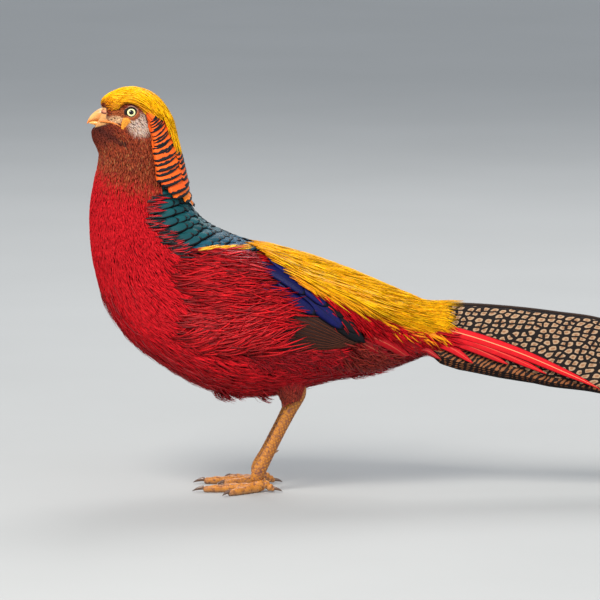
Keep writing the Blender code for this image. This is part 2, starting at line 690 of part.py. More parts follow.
def build_tail():
    """The two long middle feathers with their shafts, and the graduated outer feathers under them."""
    stations = [(x, 0.6, low) for x, low in TAIL_EDGE]
    vanes = [tail_slab("vane", side, stations, 0.0) for _, side in SIDES]
    shaft_x = [x for x, _ in TAIL_EDGE]
    radii = [1.7 - 1.1 * (x - TAIL_START) / (shaft_x[-1] - TAIL_START) for x in shaft_x]
    middle = tube("tail_middle", [tail_point(x, 0, LEFT, -0.4) for x in shaft_x], radii, 6)
    boolean(middle, vanes, "UNION")
    paint(middle, SPOTTED)
    for word, side in SIDES:
        depth = OUTER_STEP * len(OUTER_TIPS)
        root = tail_slab("tail_" + word, side, OUTER_ROOT, OUTER_ROOT_RISE - OUTER_LIFT, depth, 3)
        vanes = []
        for k, tip in enumerate(OUTER_TIPS):
            stations = []
            for t, share in OUTER_VANE:
                x = TAIL_START + 1 + (tip - TAIL_START - 1) * t
                low = along(OUTER_EDGE, x) - OUTER_FAN * (len(OUTER_TIPS) - 1 - k) - OUTER_RISE * t ** 3
                stations.append((x, low - OUTER_WIDTH * share, low))
            vanes.append(tail_slab("vane", side, stations, -OUTER_LIFT - OUTER_STEP * k, VANE, 3))
        boolean(root, vanes, "UNION")
        paint(root, SPOTTED)


def build_coverts(word, side):
    """The long scarlet feathers that lie along each side of the tail."""
    depth = COVERT_STEP * len(COVERTS)
    top = COVERT_LIFT + depth - COVERT_ROOT_SUNK
    root = tail_slab("covert_" + word, side, COVERT_ROOT, top, depth - COVERT_ROOT_CLEAR, 3)
    vanes = []
    for k, (tip_x, tip_z, start) in enumerate(COVERTS):
        drop = ridge_height(tip_x) - tip_z + (EAVE_DOWN - RIDGE_DOWN) * RIDGE_SOFTNESS
        end = drop / EAVE_DOWN
        stations = []
        for t, share in COVERT_VANE:
            middle = start + (end - start) * t ** COVERT_CURVE
            half = COVERT_HALF * share
            stations.append((TAIL_START + 1 + (tip_x - TAIL_START - 1) * t, middle - half, middle + half))
        lift = COVERT_LIFT + COVERT_STEP * (k + 1) - COVERT_SUNK
        vanes.append(tail_slab("vane", side, stations, lift, COVERT_THICKNESS, 3))
    boolean(root, vanes, "UNION")
    paint(root, SCARLET)


def leg_point(place, side):
    """A point of the side view in the plane of one leg."""
    return Vector((place[0], side * LEG_SPREAD, place[1]))


def build_leg(word, side):
    """Thigh, tarsus with its spur, foot and claws of one leg."""
    tarsus_line = [leg_point([a + (b - a) * t for a, b in zip(ANKLE, HOCK)], side) for t in steps(0, 1, 6)]
    tarsus = tube("tarsus_" + word, tarsus_line, TARSUS_RADII[::-1], 10, TARSUS_WIDTH)
    share = (SPUR_HEIGHT - ANKLE[1]) / (HOCK[1] - ANKLE[1])
    root = leg_point([a + (b - a) * share for a, b in zip(ANKLE, HOCK)], side)
    back = Vector((1, -side * 0.5, 0.15)).normalized()
    spur = tube("spur", [root + back * (min(TARSUS_RADII) + SPUR_LENGTH) * t for t in (0.3, 0.7, 1)],
                (SPUR_RADIUS, SPUR_RADIUS * 0.7, SPUR_RADIUS * 0.2), 6)
    boolean(tarsus, [spur], "UNION")
    thigh = tube("thigh_" + word, [leg_point(p, side) for p in THIGH_LINE], THIGH_RADII, 12)
    paint(thigh, SCARLET)
    paint(tarsus, LEG_YELLOW, 0.5)
    body = body_cutter()
    boolean(thigh, [body], "DIFFERENCE")
    hole = tube("hole", tarsus_line, [r + GAP for r in TARSUS_RADII[::-1]], 10, TARSUS_WIDTH)
    boolean(thigh, [hole], "DIFFERENCE")


def body_cutter():
    """The torso grown by the gap that its neighbours keep."""
    rings = []
    for s in steps(10.0, 20.0, 21):
        row = spline(BODY, s)
        turns = [2 * math.pi * i / BODY_SIDES for i in range(BODY_SIDES)]
        rings.append([section_point(*row[:5], turn, row[5], GAP) for turn in turns])
    return loft("body_cutter", rings)


def build_foot(word, side):
    """The foot with its toes, and a claw on each."""
    pad = Vector((ANKLE[0] + 0.5, side * LEG_SPREAD, PAD_RISE))
    core = ball("foot_" + word, pad, PAD_SIZE, 12, 8)
    toes = []
    for toe, (turn, length, root, tip, claw) in TOES.items():
        heading = math.radians(turn)
        ahead = Vector((-math.cos(heading), side * math.sin(heading), 0))
        line, radii = [], []
        for t in steps(0, 1, 5):
            radius = root + (tip - root) * t + KNUCKLE * math.sin(t * math.pi * 3) ** 2
            rise = HIND_RISE * (1 - t) if toe == "hind" else 0.0
            place = Vector((pad.x, pad.y, radius - SOLE_CUT + rise))
            line.append(place + ahead * (length * t))
            radii.append(radius)
        toes.append(tube("toe", line, radii, 8))
        forward = (line[-1] - line[-2]).normalized()
        end = line[-1] + forward * CLAW_GAP
        points, radii = [], []
        for t in steps(0, 1, 5):
            radii.append(tip * (0.72 - 0.62 * t))
            place = end + forward * (claw * t)
            place.z = max(radii[-1] + 0.1, place.z * (1 - 0.8 * t * t))
            points.append(place)
        nail = tube("claw_" + toe + "_" + word, points, radii, 8)
        paint(nail, HORN, 0.4)
    boolean(core, toes, "UNION")
    floor = block("floor", (pad.x, pad.y, -10), (80, 80, 10))
    boolean(core, [floor], "DIFFERENCE")
    paint(core, LEG_YELLOW, 0.5)


def set_origin():
    """Moves the whole bird so that the middle of its box is over the origin and its soles are at z = 0."""
    objects = list(bird.objects)
    corners = [obj.matrix_world @ v.co for obj in objects for v in obj.data.vertices]
    low = Vector([min(c[k] for c in corners) for k in range(3)])
    high = Vector([max(c[k] for c in corners) for k in range(3)])
    shift = Vector((-(low.x + high.x) / 2, -(low.y + high.y) / 2, -low.z))
    for obj in objects:
        for vertex in obj.data.vertices:
            vertex.co += shift


for old in list(bpy.data.objects):
    bpy.data.objects.remove(old)
bird = bpy.data.collections.new("golden_pheasant")
bpy.context.scene.collection.children.link(bird)

build_head()
build_bill()
body_loft("neck", HEAD_END + 0.02, NECK_END - 0.01, RUST)
body_loft("torso", NECK_END + 0.01, TORSO_END, SCARLET)
build_crest()
build_rump()
build_tail()
for side_word, side_sign in SIDES:
    build_cape(side_word, side_sign)
    build_wing(side_word, side_sign)
    build_coverts(side_word, side_sign)
    build_leg(side_word, side_sign)
    build_foot(side_word, side_sign)
set_origin()
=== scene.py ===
"""The looks of a golden pheasant cock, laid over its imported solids.

Lengths are in millimetres in the bird's own frame, which build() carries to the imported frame. Feathers are laid
on the body by a station along it and an angle round it from the back line, negative on the right side."""

import math

import bmesh
import bpy
import numpy as np
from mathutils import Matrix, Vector


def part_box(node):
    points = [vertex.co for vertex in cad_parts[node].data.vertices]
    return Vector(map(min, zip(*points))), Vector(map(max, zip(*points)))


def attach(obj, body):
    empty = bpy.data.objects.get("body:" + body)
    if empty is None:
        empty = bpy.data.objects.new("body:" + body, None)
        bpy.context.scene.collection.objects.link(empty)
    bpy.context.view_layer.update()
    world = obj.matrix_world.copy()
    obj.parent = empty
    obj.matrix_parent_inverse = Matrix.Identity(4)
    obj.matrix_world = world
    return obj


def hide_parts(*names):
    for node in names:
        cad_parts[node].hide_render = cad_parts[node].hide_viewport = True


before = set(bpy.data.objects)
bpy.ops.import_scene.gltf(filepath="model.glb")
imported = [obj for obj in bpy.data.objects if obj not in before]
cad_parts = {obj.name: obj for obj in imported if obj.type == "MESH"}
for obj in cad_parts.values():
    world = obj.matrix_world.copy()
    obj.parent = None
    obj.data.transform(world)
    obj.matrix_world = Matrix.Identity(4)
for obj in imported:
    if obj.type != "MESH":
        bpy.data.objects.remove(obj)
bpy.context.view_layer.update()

MM = 0.001
TAIL_TIP_X = 829.0
SHIFT = np.array((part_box("tail_middle")[1].x / MM - TAIL_TIP_X, 0.0, 0.0))

# Body sections from the bill root to the tail root: the upper point, the lower point, the half width and the
# share by which the lower half is fuller than the upper.
BODY = np.array((
    (-126.7, 327.3, -130.9, 312.8, 6.5, 0.00),
    (-120.7, 334.1, -133.0, 308.6, 10.0, 0.00),
    (-109.7, 338.2, -133.9, 304.3, 12.6, 0.00),
    (-94.8, 337.6, -133.0, 298.8, 14.8, 0.00),
    (-82.0, 328.4, -130.1, 292.4, 16.8, 0.00),
    (-72.2, 313.3, -127.9, 286.0, 18.4, 0.00),
    (-66.6, 297.5, -128.8, 277.5, 20.0, 0.02),
    (-62.4, 280.5, -132.2, 262.7, 23.0, 0.05),
    (-58.6, 263.5, -135.6, 241.4, 28.0, 0.08),
    (-53.6, 247.5, -135.6, 215.9, 34.0, 0.10),
    (-45.5, 235.0, -132.2, 190.4, 40.0, 0.12),
    (-35.3, 226.3, -123.3, 160.7, 46.0, 0.14),
    (-20.9, 219.0, -103.7, 130.1, 52.0, 0.15),
    (-3.2, 212.3, -74.0, 107.1, 56.0, 0.15),
    (16.3, 206.6, -38.3, 87.6, 58.0, 0.14),
    (39.2, 200.4, -2.6, 80.8, 57.0, 0.12),
    (64.6, 192.2, 33.2, 84.2, 53.0, 0.10),
    (90.0, 182.6, 67.2, 93.5, 46.0, 0.08),
    (115.5, 171.6, 100.3, 99.5, 37.0, 0.05),
    (136.8, 163.4, 129.2, 108.0, 28.5, 0.02),
    (152.0, 159.6, 152.0, 116.0, 21.0, 0.00),
    (176.0, 160.6, 176.0, 113.0, 21.0, 0.00),
    (200.0, 159.0, 200.0, 109.0, 20.0, 0.00),
))
ROUNDNESS = 2.15
STATION_STEP, ANGLE_STEP = 0.05, 2.0
FIRST_STATION, LAST_STATION = -0.3, 21.9
# The last angle from the back line at which place() looks, and how many stations the body's unwrap spans.
WIDEST = 125.0
UNWRAP_STATIONS = 21

# The crest's lower edge as it shows from the side, from the forehead over the eye to the cape.
CREST_LINE = ((-126.7, 328.3), (-122.6, 326.4), (-120.6, 322.6), (-116.4, 321.4), (-112.6, 322.8), (-108.6, 326.0),
              (-103.7, 328.6), (-98.6, 328.6), (-94.6, 326.2), (-91.0, 322.5), (-88.4, 318.5), (-86.0, 317.0))
# Behind that line, the crest's edge as an angle from the back line by station.
CREST_REAR = [(4.75, 24.0), (5.5, 17.0), (6.2, 12.0), (7.0, 8.0)]
# The cape's front and lower edge as it shows from the side, from the crest down.
CAPE_LINE = ((-86.5, 317.9), (-85.4, 312.0), (-84.1, 305.2), (-82.4, 298.4), (-81.8, 291.6), (-81.3, 284.8),
             (-80.6, 278.0), (-79.1, 272.6), (-78.3, 266.8), (-78.1, 261.1), (-74.0, 257.0), (-69.7, 253.5),
             (-66.5, 247.8), (-58.7, 243.3), (-52.7, 241.0), (-47.3, 238.2))
# The mantle's edge, as an angle from the back line by station.
MANTLE_EDGE = (
    (7.9, 60.0), (8.3, 72.0), (9.1, 78.0), (10.1, 70.0), (11.1, 65.0), (11.8, 57.0), (12.6, 44.0), (13.2, 31.0),
    (13.4, 15.0), (13.5, 0.0),
)
# Where the golden back gives way to scarlet strands above the wing, as it shows from the side.
GOLD_LINE = ((2.6, 205.7), (14.2, 194.1), (19.6, 189.6), (33.0, 177.5), (45.0, 170.0), (55.0, 164.5), (64.0, 159.5),
             (74.6, 156.0), (89.8, 148.8), (104.6, 145.0), (118.2, 137.7), (127.5, 131.8), (141.7, 129.2),
             (168.7, 131.0))
# Where rust gives way to scarlet, as a station by angle.
RUST_END = ((60.0, 8.0), (71.0, 7.85), (85.0, 7.6), (103.0, 7.25), (129.0, 6.8), (175.0, 6.0))
# How far the outermost feathers of crest and cape stand off, by station.
CREST_LIFT = ((0.0, 2.4), (1.0, 2.5), (2.0, 3.4), (3.0, 5.0), (4.0, 5.8), (5.0, 8.3), (6.0, 8.2), (6.8, 6.3))
CAPE_LIFT = ((4.6, 3.6), (6.0, 4.6), (7.0, 6.8), (8.5, 7.2), (9.2, 6.0), (9.9, 3.0))

# The tail's ridge by x and height. Its slopes run out and down by these shares, but more level near the ridge.
RIDGE = np.array((
    (150.0, 157.4), (176.0, 158.2), (220.0, 155.6), (260.0, 151.0), (300.0, 144.6), (400.0, 127.2),
    (520.0, 104.6), (660.0, 76.8), (830.0, 43.0),
))
EAVE_ACROSS, EAVE_DOWN = 0.309, 0.951
RIDGE_ACROSS, RIDGE_DOWN = 0.966, 0.259
RIDGE_SOFTNESS = 10.0
TAIL_START = 152.4
# How far down its slope the roof reaches, by x.
TAIL_EDGE = (
    (152.4, 22.0), (176.0, 40.0), (205.0, 52.0), (240.0, 61.0), (290.0, 66.0), (350.0, 65.0),
    (430.0, 58.0), (520.0, 48.0), (610.0, 38.0), (700.0, 27.0), (780.0, 16.0), (829.0, 3.0),
)
# The same for the outer tail feathers, and the x of their tips.
OUTER_EDGE = ((140.0, 40.0), (152.4, 48.0), (162.0, 57.0), (176.0, 62.0), (212.0, 68.0), (253.0, 73.0),
              (300.0, 74.5), (640.0, 66.0))
OUTER_TIPS = (640.0, 500.0, 400.0, 310.0)

# Colours are linear red, green and blue.
SCARLET = (0.50, 0.004, 0.010)
BRIGHT_SCARLET = (0.72, 0.007, 0.012)
CRIMSON = (0.20, 0.004, 0.008)
RUST = (0.30, 0.046, 0.013)
DARK_RUST = (0.105, 0.014, 0.007)
TAN = (0.46, 0.17, 0.055)
GREY_WHITE = (0.66, 0.58, 0.50)
GOLD = (1.0, 0.54, 0.002)
DEEP_GOLD = (0.98, 0.38, 0.003)
AMBER_SHADE = (0.75, 0.19, 0.008)
CAPE_ORANGE = (0.93, 0.105, 0.008)
BLACK = (0.008, 0.008, 0.010)
TEAL = (0.006, 0.066, 0.074)
PEACOCK = (0.007, 0.056, 0.108)
BLUE = (0.003, 0.004, 0.070)
RUDDY_GOLD = (0.93, 0.24, 0.010)
BROWN = (0.028, 0.009, 0.006)
BUFF = (0.27, 0.080, 0.042)
LEG = (0.52, 0.20, 0.020)
LEG_SEAM = (0.13, 0.040, 0.026)
# The head.
THROAT_SHADOW = (0.030, 0.008, 0.006)
CHIN = (0.11, 0.017, 0.009)
LORE = (0.38, 0.105, 0.028)
CREAM = (0.72, 0.47, 0.25)
BROW = (0.19, 0.030, 0.012)
EAR_TAN = (0.58, 0.40, 0.27)
CREST_BROW_SHADE = (0.46, 0.105, 0.012)
FOREHEAD = (0.24, 0.040, 0.012)
# The skin under crest and rump, cape and mantle, in dark colours that paint the shade between the feathers over it,
# and the bare skin round eye and bill.
UNDER_GOLD_SHADE = (0.50, 0.16, 0.008)
UNDER_CAPE_SHADE = (0.10, 0.02, 0.006)
UNDER_MANTLE_SHADE = (0.008, 0.03, 0.035)
EYE_SKIN = (0.40, 0.11, 0.04)
BILL_SKIN = (0.72, 0.34, 0.10)
BILL_SKIN_REAR = (0.46, 0.12, 0.035)
# The bill.
UPPER_TIP = (0.80, 0.42, 0.12)
UPPER_BASE = (0.72, 0.27, 0.07)
CUTTING_EDGE = (0.80, 0.19, 0.02)
BILL_RIDGE_HIGHLIGHT = (0.84, 0.60, 0.36)
LOWER_TIP = (0.84, 0.42, 0.10)
LOWER_BASE = (0.66, 0.13, 0.02)
# Strands and small feathers that differ from the coat round them.
VENT_RUST = (0.16, 0.03, 0.015)
TUFT_RUST = (0.34, 0.030, 0.015)
DARK_TUFT = (0.17, 0.010, 0.010)
THIGH_RED = (0.42, 0.042, 0.016)
DARK_THIGH = (0.24, 0.020, 0.010)
LIGHT_CAPE = (0.95, 0.165, 0.010)
SHOULDER_BLACK = (0.020, 0.010, 0.012)
SHOULDER_RED = (0.060, 0.012, 0.012)
SCAPULAR_DARK = (0.13, 0.006, 0.010)
SCAPULAR_RED = (0.40, 0.010, 0.016)
# Tail and coverts.
OVAL_BUFF = (0.45, 0.30, 0.185)
TIP_BUFF = (0.36, 0.16, 0.06)
OVAL_DARK = (0.23, 0.105, 0.05)
OVAL_BROWN = (0.38, 0.19, 0.095)
RUFOUS_DARK = (0.20, 0.060, 0.020)
RUFOUS = (0.40, 0.150, 0.055)
COVERT_EDGE = (0.16, 0.006, 0.010)
COVERT_SHAFT = (0.86, 0.34, 0.16)
# Legs, toes and claws.
LEG_STAIN = (0.40, 0.12, 0.025)
LEG_WEAR = (0.12, 0.045, 0.045)
HOCK_SKIN = (0.40, 0.12, 0.04)
SOLE = (0.42, 0.26, 0.15)
TOE_TIP = (0.30, 0.16, 0.09)
CLAW_STAIN = (0.12, 0.06, 0.035)
CLAW_ROOT = (0.17, 0.085, 0.045)
CLAW_TIP = (0.05, 0.028, 0.020)

# The camera looks down on the bird at this angle, so that what stands out to the side shows lower.
VIEW_ELEVATION = 7.0
VIEW_SLOPE = math.tan(math.radians(VIEW_ELEVATION))

LEFT, RIGHT = 1.0, -1.0
SIDES = (("left", LEFT), ("right", RIGHT))
scene = bpy.context.scene

# How many feathers each field has, on each side where it has two.
COUNTS = {
    "flank_wisps": 1000, "under_wing_wisps": 520, "rusty_tufts": 260, "belly_tufts": 1100, "thigh_strands": 1800,
    "crest_strands": 6600, "forehead_tufts": 1500, "cape_edge": 380, "mantle_border": 110, "golden_border": 70,
    "rump_strands": 6400, "scarlet_fringe": 620, "shoulder_feathers": 130, "scapular_strands": 240,
}


def along(rows, x):
    """The second value of a table of pairs, read in straight lines."""
    rows = np.array(rows)
    return np.interp(x, rows[:, 0], rows[:, 1])


def blend(share, low, high):
    """Mixes two colours, or two arrays, by a share."""
    share = np.clip(share, 0, 1)[..., None]
    return np.array(low) * (1 - share) + np.array(high) * share


def mixed(rng, count, first, second, dim=None):
    """Colours drawn between two, each dimmed by a draw between two shares if those are given."""
    colours = blend(rng.uniform(0, 1, count), first, second)
    return colours if dim is None else colours * rng.uniform(*dim, count)[:, None]


def smooth(low, high, x):
    """A smooth step from 0 at low to 1 at high."""
    t = np.clip((x - low) / (high - low), 0, 1)
    return t * t * (3 - 2 * t)


def signed(degrees):
    """The same angles between -180 and 180."""
    return (degrees + 180) % 360 - 180


def length_of(vectors):
    return np.sqrt((vectors ** 2).sum(-1))


def unit(vectors):
    return vectors / np.maximum(length_of(vectors), 1e-9)[..., None]


def catmull(rows, s):
    """Catmull-Rom through the rows of a table, read at an array of real-numbered rows."""
    last = len(rows) - 1
    i = np.clip(np.floor(s).astype(int), 0, last - 1)
    f = (s - i)[..., None]
    a, b, c, d = (rows[np.clip(i + k, 0, last)] for k in (-1, 0, 1, 2))
    return 0.5 * (2 * b + (c - a) * f + (2 * a - 5 * b + 4 * c - d) * f ** 2 + (3 * b - a - 3 * c + d) * f ** 3)


def section(rows, degrees, grow=0.0):
    """Points of sections, each given by its upper point, lower point, half width and lean."""
    zero = 0 * rows[..., 0]
    top = np.stack((rows[..., 0], zero, rows[..., 1]), -1)
    low = np.stack((rows[..., 2], zero, rows[..., 3]), -1)
    half = length_of(top - low) / 2 + grow
    angle = np.radians(degrees)
    power = 2 / ROUNDNESS
    rise = np.sign(np.cos(angle)) * np.abs(np.cos(angle)) ** power
    reach = np.sign(np.sin(angle)) * np.abs(np.sin(angle)) ** power * (1 - rows[..., 5] * np.cos(angle))
    across = np.stack((0 * reach, -(rows[..., 4] + grow) * reach, 0 * reach), -1)
    return (top + low) / 2 + unit(top - low) * (half * rise)[..., None] + across


STATIONS = np.arange(FIRST_STATION, LAST_STATION, STATION_STEP)
ANGLES = np.arange(-180, 180.1, ANGLE_STEP)
PLACE = section(catmull(BODY, STATIONS)[:, None], ANGLES[None])
BY_STATION = np.gradient(PLACE, STATION_STEP, axis=0)
BY_ANGLE = (np.roll(PLACE[:, :-1], -1, 1) - np.roll(PLACE[:, :-1], 1, 1)) / (2 * ANGLE_STEP)
BY_ANGLE = np.concatenate((BY_ANGLE, BY_ANGLE[:, :1]), 1)
NORMAL = unit(np.cross(BY_ANGLE, BY_STATION))
AREA = length_of(np.cross(BY_ANGLE, BY_STATION))[..., None]


def look(grid, s, degrees):
    """Reads a grid of values at stations and angles, in straight lines between its points."""
    i = np.clip((s - FIRST_STATION) / STATION_STEP, 0, len(grid) - 1.001)
    j = (degrees + 180) % 360 / ANGLE_STEP
    i0, j0 = i.astype(int), np.minimum(j.astype(int), grid.shape[1] - 2)
    f, g = (i - i0)[..., None], (j - j0)[..., None]
    near = grid[i0, j0] * (1 - g) + grid[i0, j0 + 1] * g
    far = grid[i0 + 1, j0] * (1 - g) + grid[i0 + 1, j0 + 1] * g
    return near * (1 - f) + far * f


def on_body(s, degrees, lift=0.0):
    """Points over the plumage at stations and angles."""
    return look(PLACE, s, degrees) + look(NORMAL, s, degrees) * np.asarray(lift)[..., None]


def seen(vectors):
    """Places or ways on the left side as the photo shows them: along x, and upwards."""
    return np.stack((vectors[..., 0], vectors[..., 2] + VIEW_SLOPE * vectors[..., 1]), -1)


def place(x, z):
    """Stations and angles on the left side that show at x and z in the photo's view."""
    x, z = np.atleast_1d(x).astype(float), np.atleast_1d(z).astype(float)
    facing = (ANGLES >= 0) & (ANGLES <= WIDEST)
    flat = seen(PLACE[:, facing]).reshape(-1, 2)
    near = [int(np.argmin((flat[:, 0] - a) ** 2 + (flat[:, 1] - b) ** 2)) for a, b in zip(x.ravel(), z.ravel())]
    row, column = np.divmod(np.array(near), facing.sum())
    s, degrees = STATIONS[row], ANGLES[facing][column]
    for _ in range(3):
        miss = np.stack((x.ravel(), z.ravel()), -1) - seen(look(PLACE, s, degrees))
        a, b = seen(look(BY_STATION, s, degrees)), seen(look(BY_ANGLE, s, degrees))
        span = a[:, 0] * b[:, 1] - b[:, 0] * a[:, 1]
        span = np.where(np.abs(span) < 0.05, np.inf, span)
        s = s + np.clip((miss[:, 0] * b[:, 1] - b[:, 0] * miss[:, 1]) / span, -0.1, 0.1)
        degrees = degrees + np.clip((a[:, 0] * miss[:, 1] - miss[:, 0] * a[:, 1]) / span, -3, 3)
    return s.reshape(x.shape), np.clip(degrees, 1, WIDEST).reshape(x.shape)


def spread(s, degrees, back, down):
    """Stations and angles that lie so far back and down over the plumage from roots."""
    side = np.where(degrees < 0, -1.0, 1.0)
    at_s, at_a = s, degrees
    for _ in range(2):
        by_s, by_a = look(BY_STATION, at_s, at_a), look(BY_ANGLE, at_s, at_a) * side[:, None]
        step = length_of(by_s)
        slant = (by_a * by_s).sum(-1) / step
        across = np.sqrt(np.maximum((by_a ** 2).sum(-1) - slant ** 2, 1e-4))
        turned = down / across[:, None]
        moved = (back - turned * slant[:, None]) / step[:, None]
        at_s, at_a = s + moved.mean(1), degrees + side * turned.mean(1)
    return s[:, None] + moved, degrees[:, None] + side[:, None] * turned


def tail_points(x, down, side, lift):
    """Points on the tail's roof, by the way down from its ridge."""
    side = np.where(down < 0, -side, side)
    down = np.abs(down)
    fade = np.exp(-down / RIDGE_SOFTNESS)
    ease = RIDGE_SOFTNESS * (1 - fade)
    across = EAVE_ACROSS * down + (RIDGE_ACROSS - EAVE_ACROSS) * ease
    drop = EAVE_DOWN * down - (EAVE_DOWN - RIDGE_DOWN) * ease
    row = np.interp(x, RIDGE[:, 0], np.arange(len(RIDGE)))
    ridge = catmull(RIDGE, row)[..., 1]
    out = side * (EAVE_DOWN - (EAVE_DOWN - RIDGE_DOWN) * fade)
    up = EAVE_ACROSS + (RIDGE_ACROSS - EAVE_ACROSS) * fade
    return np.stack((x + 0 * lift, -side * across - out * lift, ridge - drop + up * lift), -1)


COAT_ROUGHNESS = 0.08


class Shader:
    """A node material that is written as nested calls."""

    def __init__(self, name, roughness=0.55, coat=0.0, specular=0.5):
        self.material = bpy.data.materials.new(name)
        self.material.use_nodes = True
        self.tree = self.material.node_tree
        self.shader = self.tree.nodes["Principled BSDF"]
        self.shader.inputs["Roughness"].default_value = roughness
        self.shader.inputs["Coat Weight"].default_value = coat
        self.shader.inputs["Coat Roughness"].default_value = COAT_ROUGHNESS
        self.shader.inputs["Specular IOR Level"].default_value = specular

    def put(self, socket, value):
        if isinstance(value, bpy.types.NodeSocket):
            self.tree.links.new(value, socket)
        elif isinstance(value, (tuple, list)) and len(socket.default_value) == 4:
            socket.default_value = (*value, 1)
        else:
            socket.default_value = value

    def node(self, kind, inputs=(), **settings):
        node = self.tree.nodes.new("ShaderNode" + kind)
        for key, value in settings.items():
            setattr(node, key, value)
        for key, value in dict(inputs).items():
            self.put(node.inputs[key], value)
        return node

    def math(self, operation, a, b=0.0, c=0.0):
        return self.node("Math", {0: a, 1: b, 2: c}, operation=operation).outputs[0]

    def scaled(self, value, factor, offset=0.0):
        return self.math("MULTIPLY_ADD", value, factor, offset)

    def less(self, value):
        """What a value leaves of 1."""
        return self.math("SUBTRACT", 1.0, value)

    def wave(self, value):
        """A wave between 0 and 1."""
        return self.scaled(self.math("SINE", value), 0.5, 0.5)

    def off(self, across):
        """How far a place across a feather is from its middle."""
        return self.math("ABSOLUTE", self.math("SUBTRACT", across, 0.5))

    def mix(self, share, a, b, blend_type="MIX"):
        node = self.node("Mix", {0: share, 6: a, 7: b}, data_type="RGBA", blend_type=blend_type)
        return node.outputs[2]

    def shaded(self, colour, value):
        """A colour times a grey value."""
        tone = self.node("CombineColor", {0: value, 1: value, 2: value}).outputs[0]
        return self.mix(1.0, colour, tone, "MULTIPLY")

    def tint(self):
        """The colour that each point of a piece bears."""
        return self.node("Attribute", attribute_name="tint").outputs["Color"]

    def tinted(self, value):
        return self.shaded(self.tint(), value)

    def parts(self, vector):
        return self.node("SeparateXYZ", {0: vector}).outputs

    def vane(self):
        """The place across and along a feather, each from 0 to 1."""
        return self.parts(self.node("UVMap", uv_map="vane").outputs[0])

    def noise(self, scale, detail=3.0, stretch=(1, 1, 1)):
        where = self.node("NewGeometry").outputs["Position"]
        where = self.node("VectorMath", {0: where, 1: stretch}, operation="MULTIPLY").outputs[0]
        return self.node("TexNoise", {"Vector": where, "Scale": scale, "Detail": detail}).outputs[0]

    def window(self, value, low, high):
        """0 below low and 1 above high, smooth between."""
        settings = {0: value, 1: low, 2: high, 3: 0.0, 4: 1.0}
        return self.node("MapRange", settings, interpolation_type="SMOOTHSTEP").outputs[0]

    def bump(self, height, strength=0.3, distance=0.3):
        node = self.node("Bump", {"Height": height, "Strength": strength, "Distance": distance * MM})
        self.put(self.shader.inputs["Normal"], node.outputs[0])

    def finish(self, colour):
        self.put(self.shader.inputs["Base Color"], colour)
        return self.material


def build(name, points, faces, material, tint=None, vane=None, bake=None, replaces=()):
    """Makes a piece from points in millimetres and faces given as arrays of corners, four or more a face."""
    mesh = bpy.data.meshes.new(name)
    flat_points = ((points.reshape(-1, 3) + SHIFT) * MM).astype(np.float32)
    mesh.vertices.add(len(flat_points))
    mesh.vertices.foreach_set("co", flat_points.ravel())
    corners = np.concatenate([f.ravel() for f in faces])
    sizes = np.concatenate([np.full(len(f), f.shape[1]) for f in faces])
    mesh.loops.add(len(corners))
    mesh.loops.foreach_set("vertex_index", corners.astype(np.int32))
    mesh.polygons.add(len(sizes))
    mesh.polygons.foreach_set("loop_start", (np.cumsum(sizes) - sizes).astype(np.int32))
    mesh.update(calc_edges=True)
    for label, values in (("vane", vane), ("OFBake", bake)):
        if values is not None:
            layer = mesh.uv_layers.new(name=label)
            layer.data.foreach_set("uv", values.reshape(-1, 2)[corners].astype(np.float32).ravel())
    if bake is not None:
        mesh.uv_layers["OFBake"].active_render = True
    if tint is not None:
        layer = mesh.color_attributes.new("tint", "FLOAT_COLOR", "POINT")
        tint = tint.reshape(-1, 3)
        colours = np.concatenate((np.clip(tint, 0, 1), np.ones((len(tint), 1))), 1)
        layer.data.foreach_set("color", colours.astype(np.float32).ravel())
    mesh.validate()
    mesh.polygons.foreach_set("use_smooth", np.full(len(mesh.polygons), True))
    mesh.materials.append(material)
    piece = bpy.data.objects.new(name, mesh)
    scene.collection.objects.link(piece)
    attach(piece, "root")
    if replaces:
        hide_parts(*replaces)
    return piece


def ring_faces(count, rows, ring):
    """Faces of many closed tubes, each of some rows of a ring of points, with both ends closed."""
    index = np.arange(count * rows * ring).reshape(count, rows, ring)
    turned = np.roll(index, -1, 2)
    sides = np.stack((index[:, :-1], index[:, 1:], turned[:, 1:], turned[:, :-1]), -1)
    return [sides.reshape(-1, 4), index[:, 0], index[:, -1, ::-1]]


# Cross sections of a feather: the place across it, and the height in thicknesses.
HAIR_RING = ((-1, 0), (0, 1), (1, 0))
WIDE_RING = ((-1, 0), (-0.75, 0.6), (-0.5, 0.9), (-0.25, 1), (0, 1), (0.25, 1), (0.5, 0.9), (0.75, 0.6), (1, 0),
             (0.5, -0.2), (0, -0.2), (-0.5, -0.2))
VANE_RING = ((-1, 0), (-0.55, 0.8), (0, 1), (0.55, 0.8), (1, 0), (0.5, -0.2), (0, -0.1), (-0.5, -0.2))

# Outlines of a feather: rows of the share of its length, of its width and of its rise.
HAIR = ((0, 0.55, 0), (0.25, 1, 0.40), (0.6, 0.85, 0.8), (0.85, 0.5, 0.97), (1, 0.08, 1))
SHORT = ((0, 0.6, 0), (0.4, 1, 0.55), (0.8, 0.75, 0.95), (1, 0.15, 1))
SCALE = ((0, 0.5, 0), (0.3, 0.9, 0.4), (0.6, 1, 0.7), (0.8, 0.92, 0.85), (0.93, 0.6, 0.96), (1, 0.15, 1))
PLATE = ((0, 0.7, 0), (0.3, 0.95, 0.4), (0.6, 1, 0.7), (0.85, 1, 0.9), (0.97, 0.96, 0.98), (1, 0.8, 1))
BROAD = (
    (0, 0.5, 0), (0.12, 0.85, 0.2), (0.3, 1, 0.45), (0.5, 1, 0.65), (0.7, 0.97, 0.82), (0.85, 0.8, 0.92),
    (0.95, 0.5, 0.98), (1, 0.12, 1),
)
LONG = (
    (0, 0.7, 0), (0.15, 0.95, 0.2), (0.4, 1, 0.5), (0.6, 0.92, 0.7), (0.8, 0.66, 0.88), (0.92, 0.36, 0.97),
    (1, 0.05, 1),
)


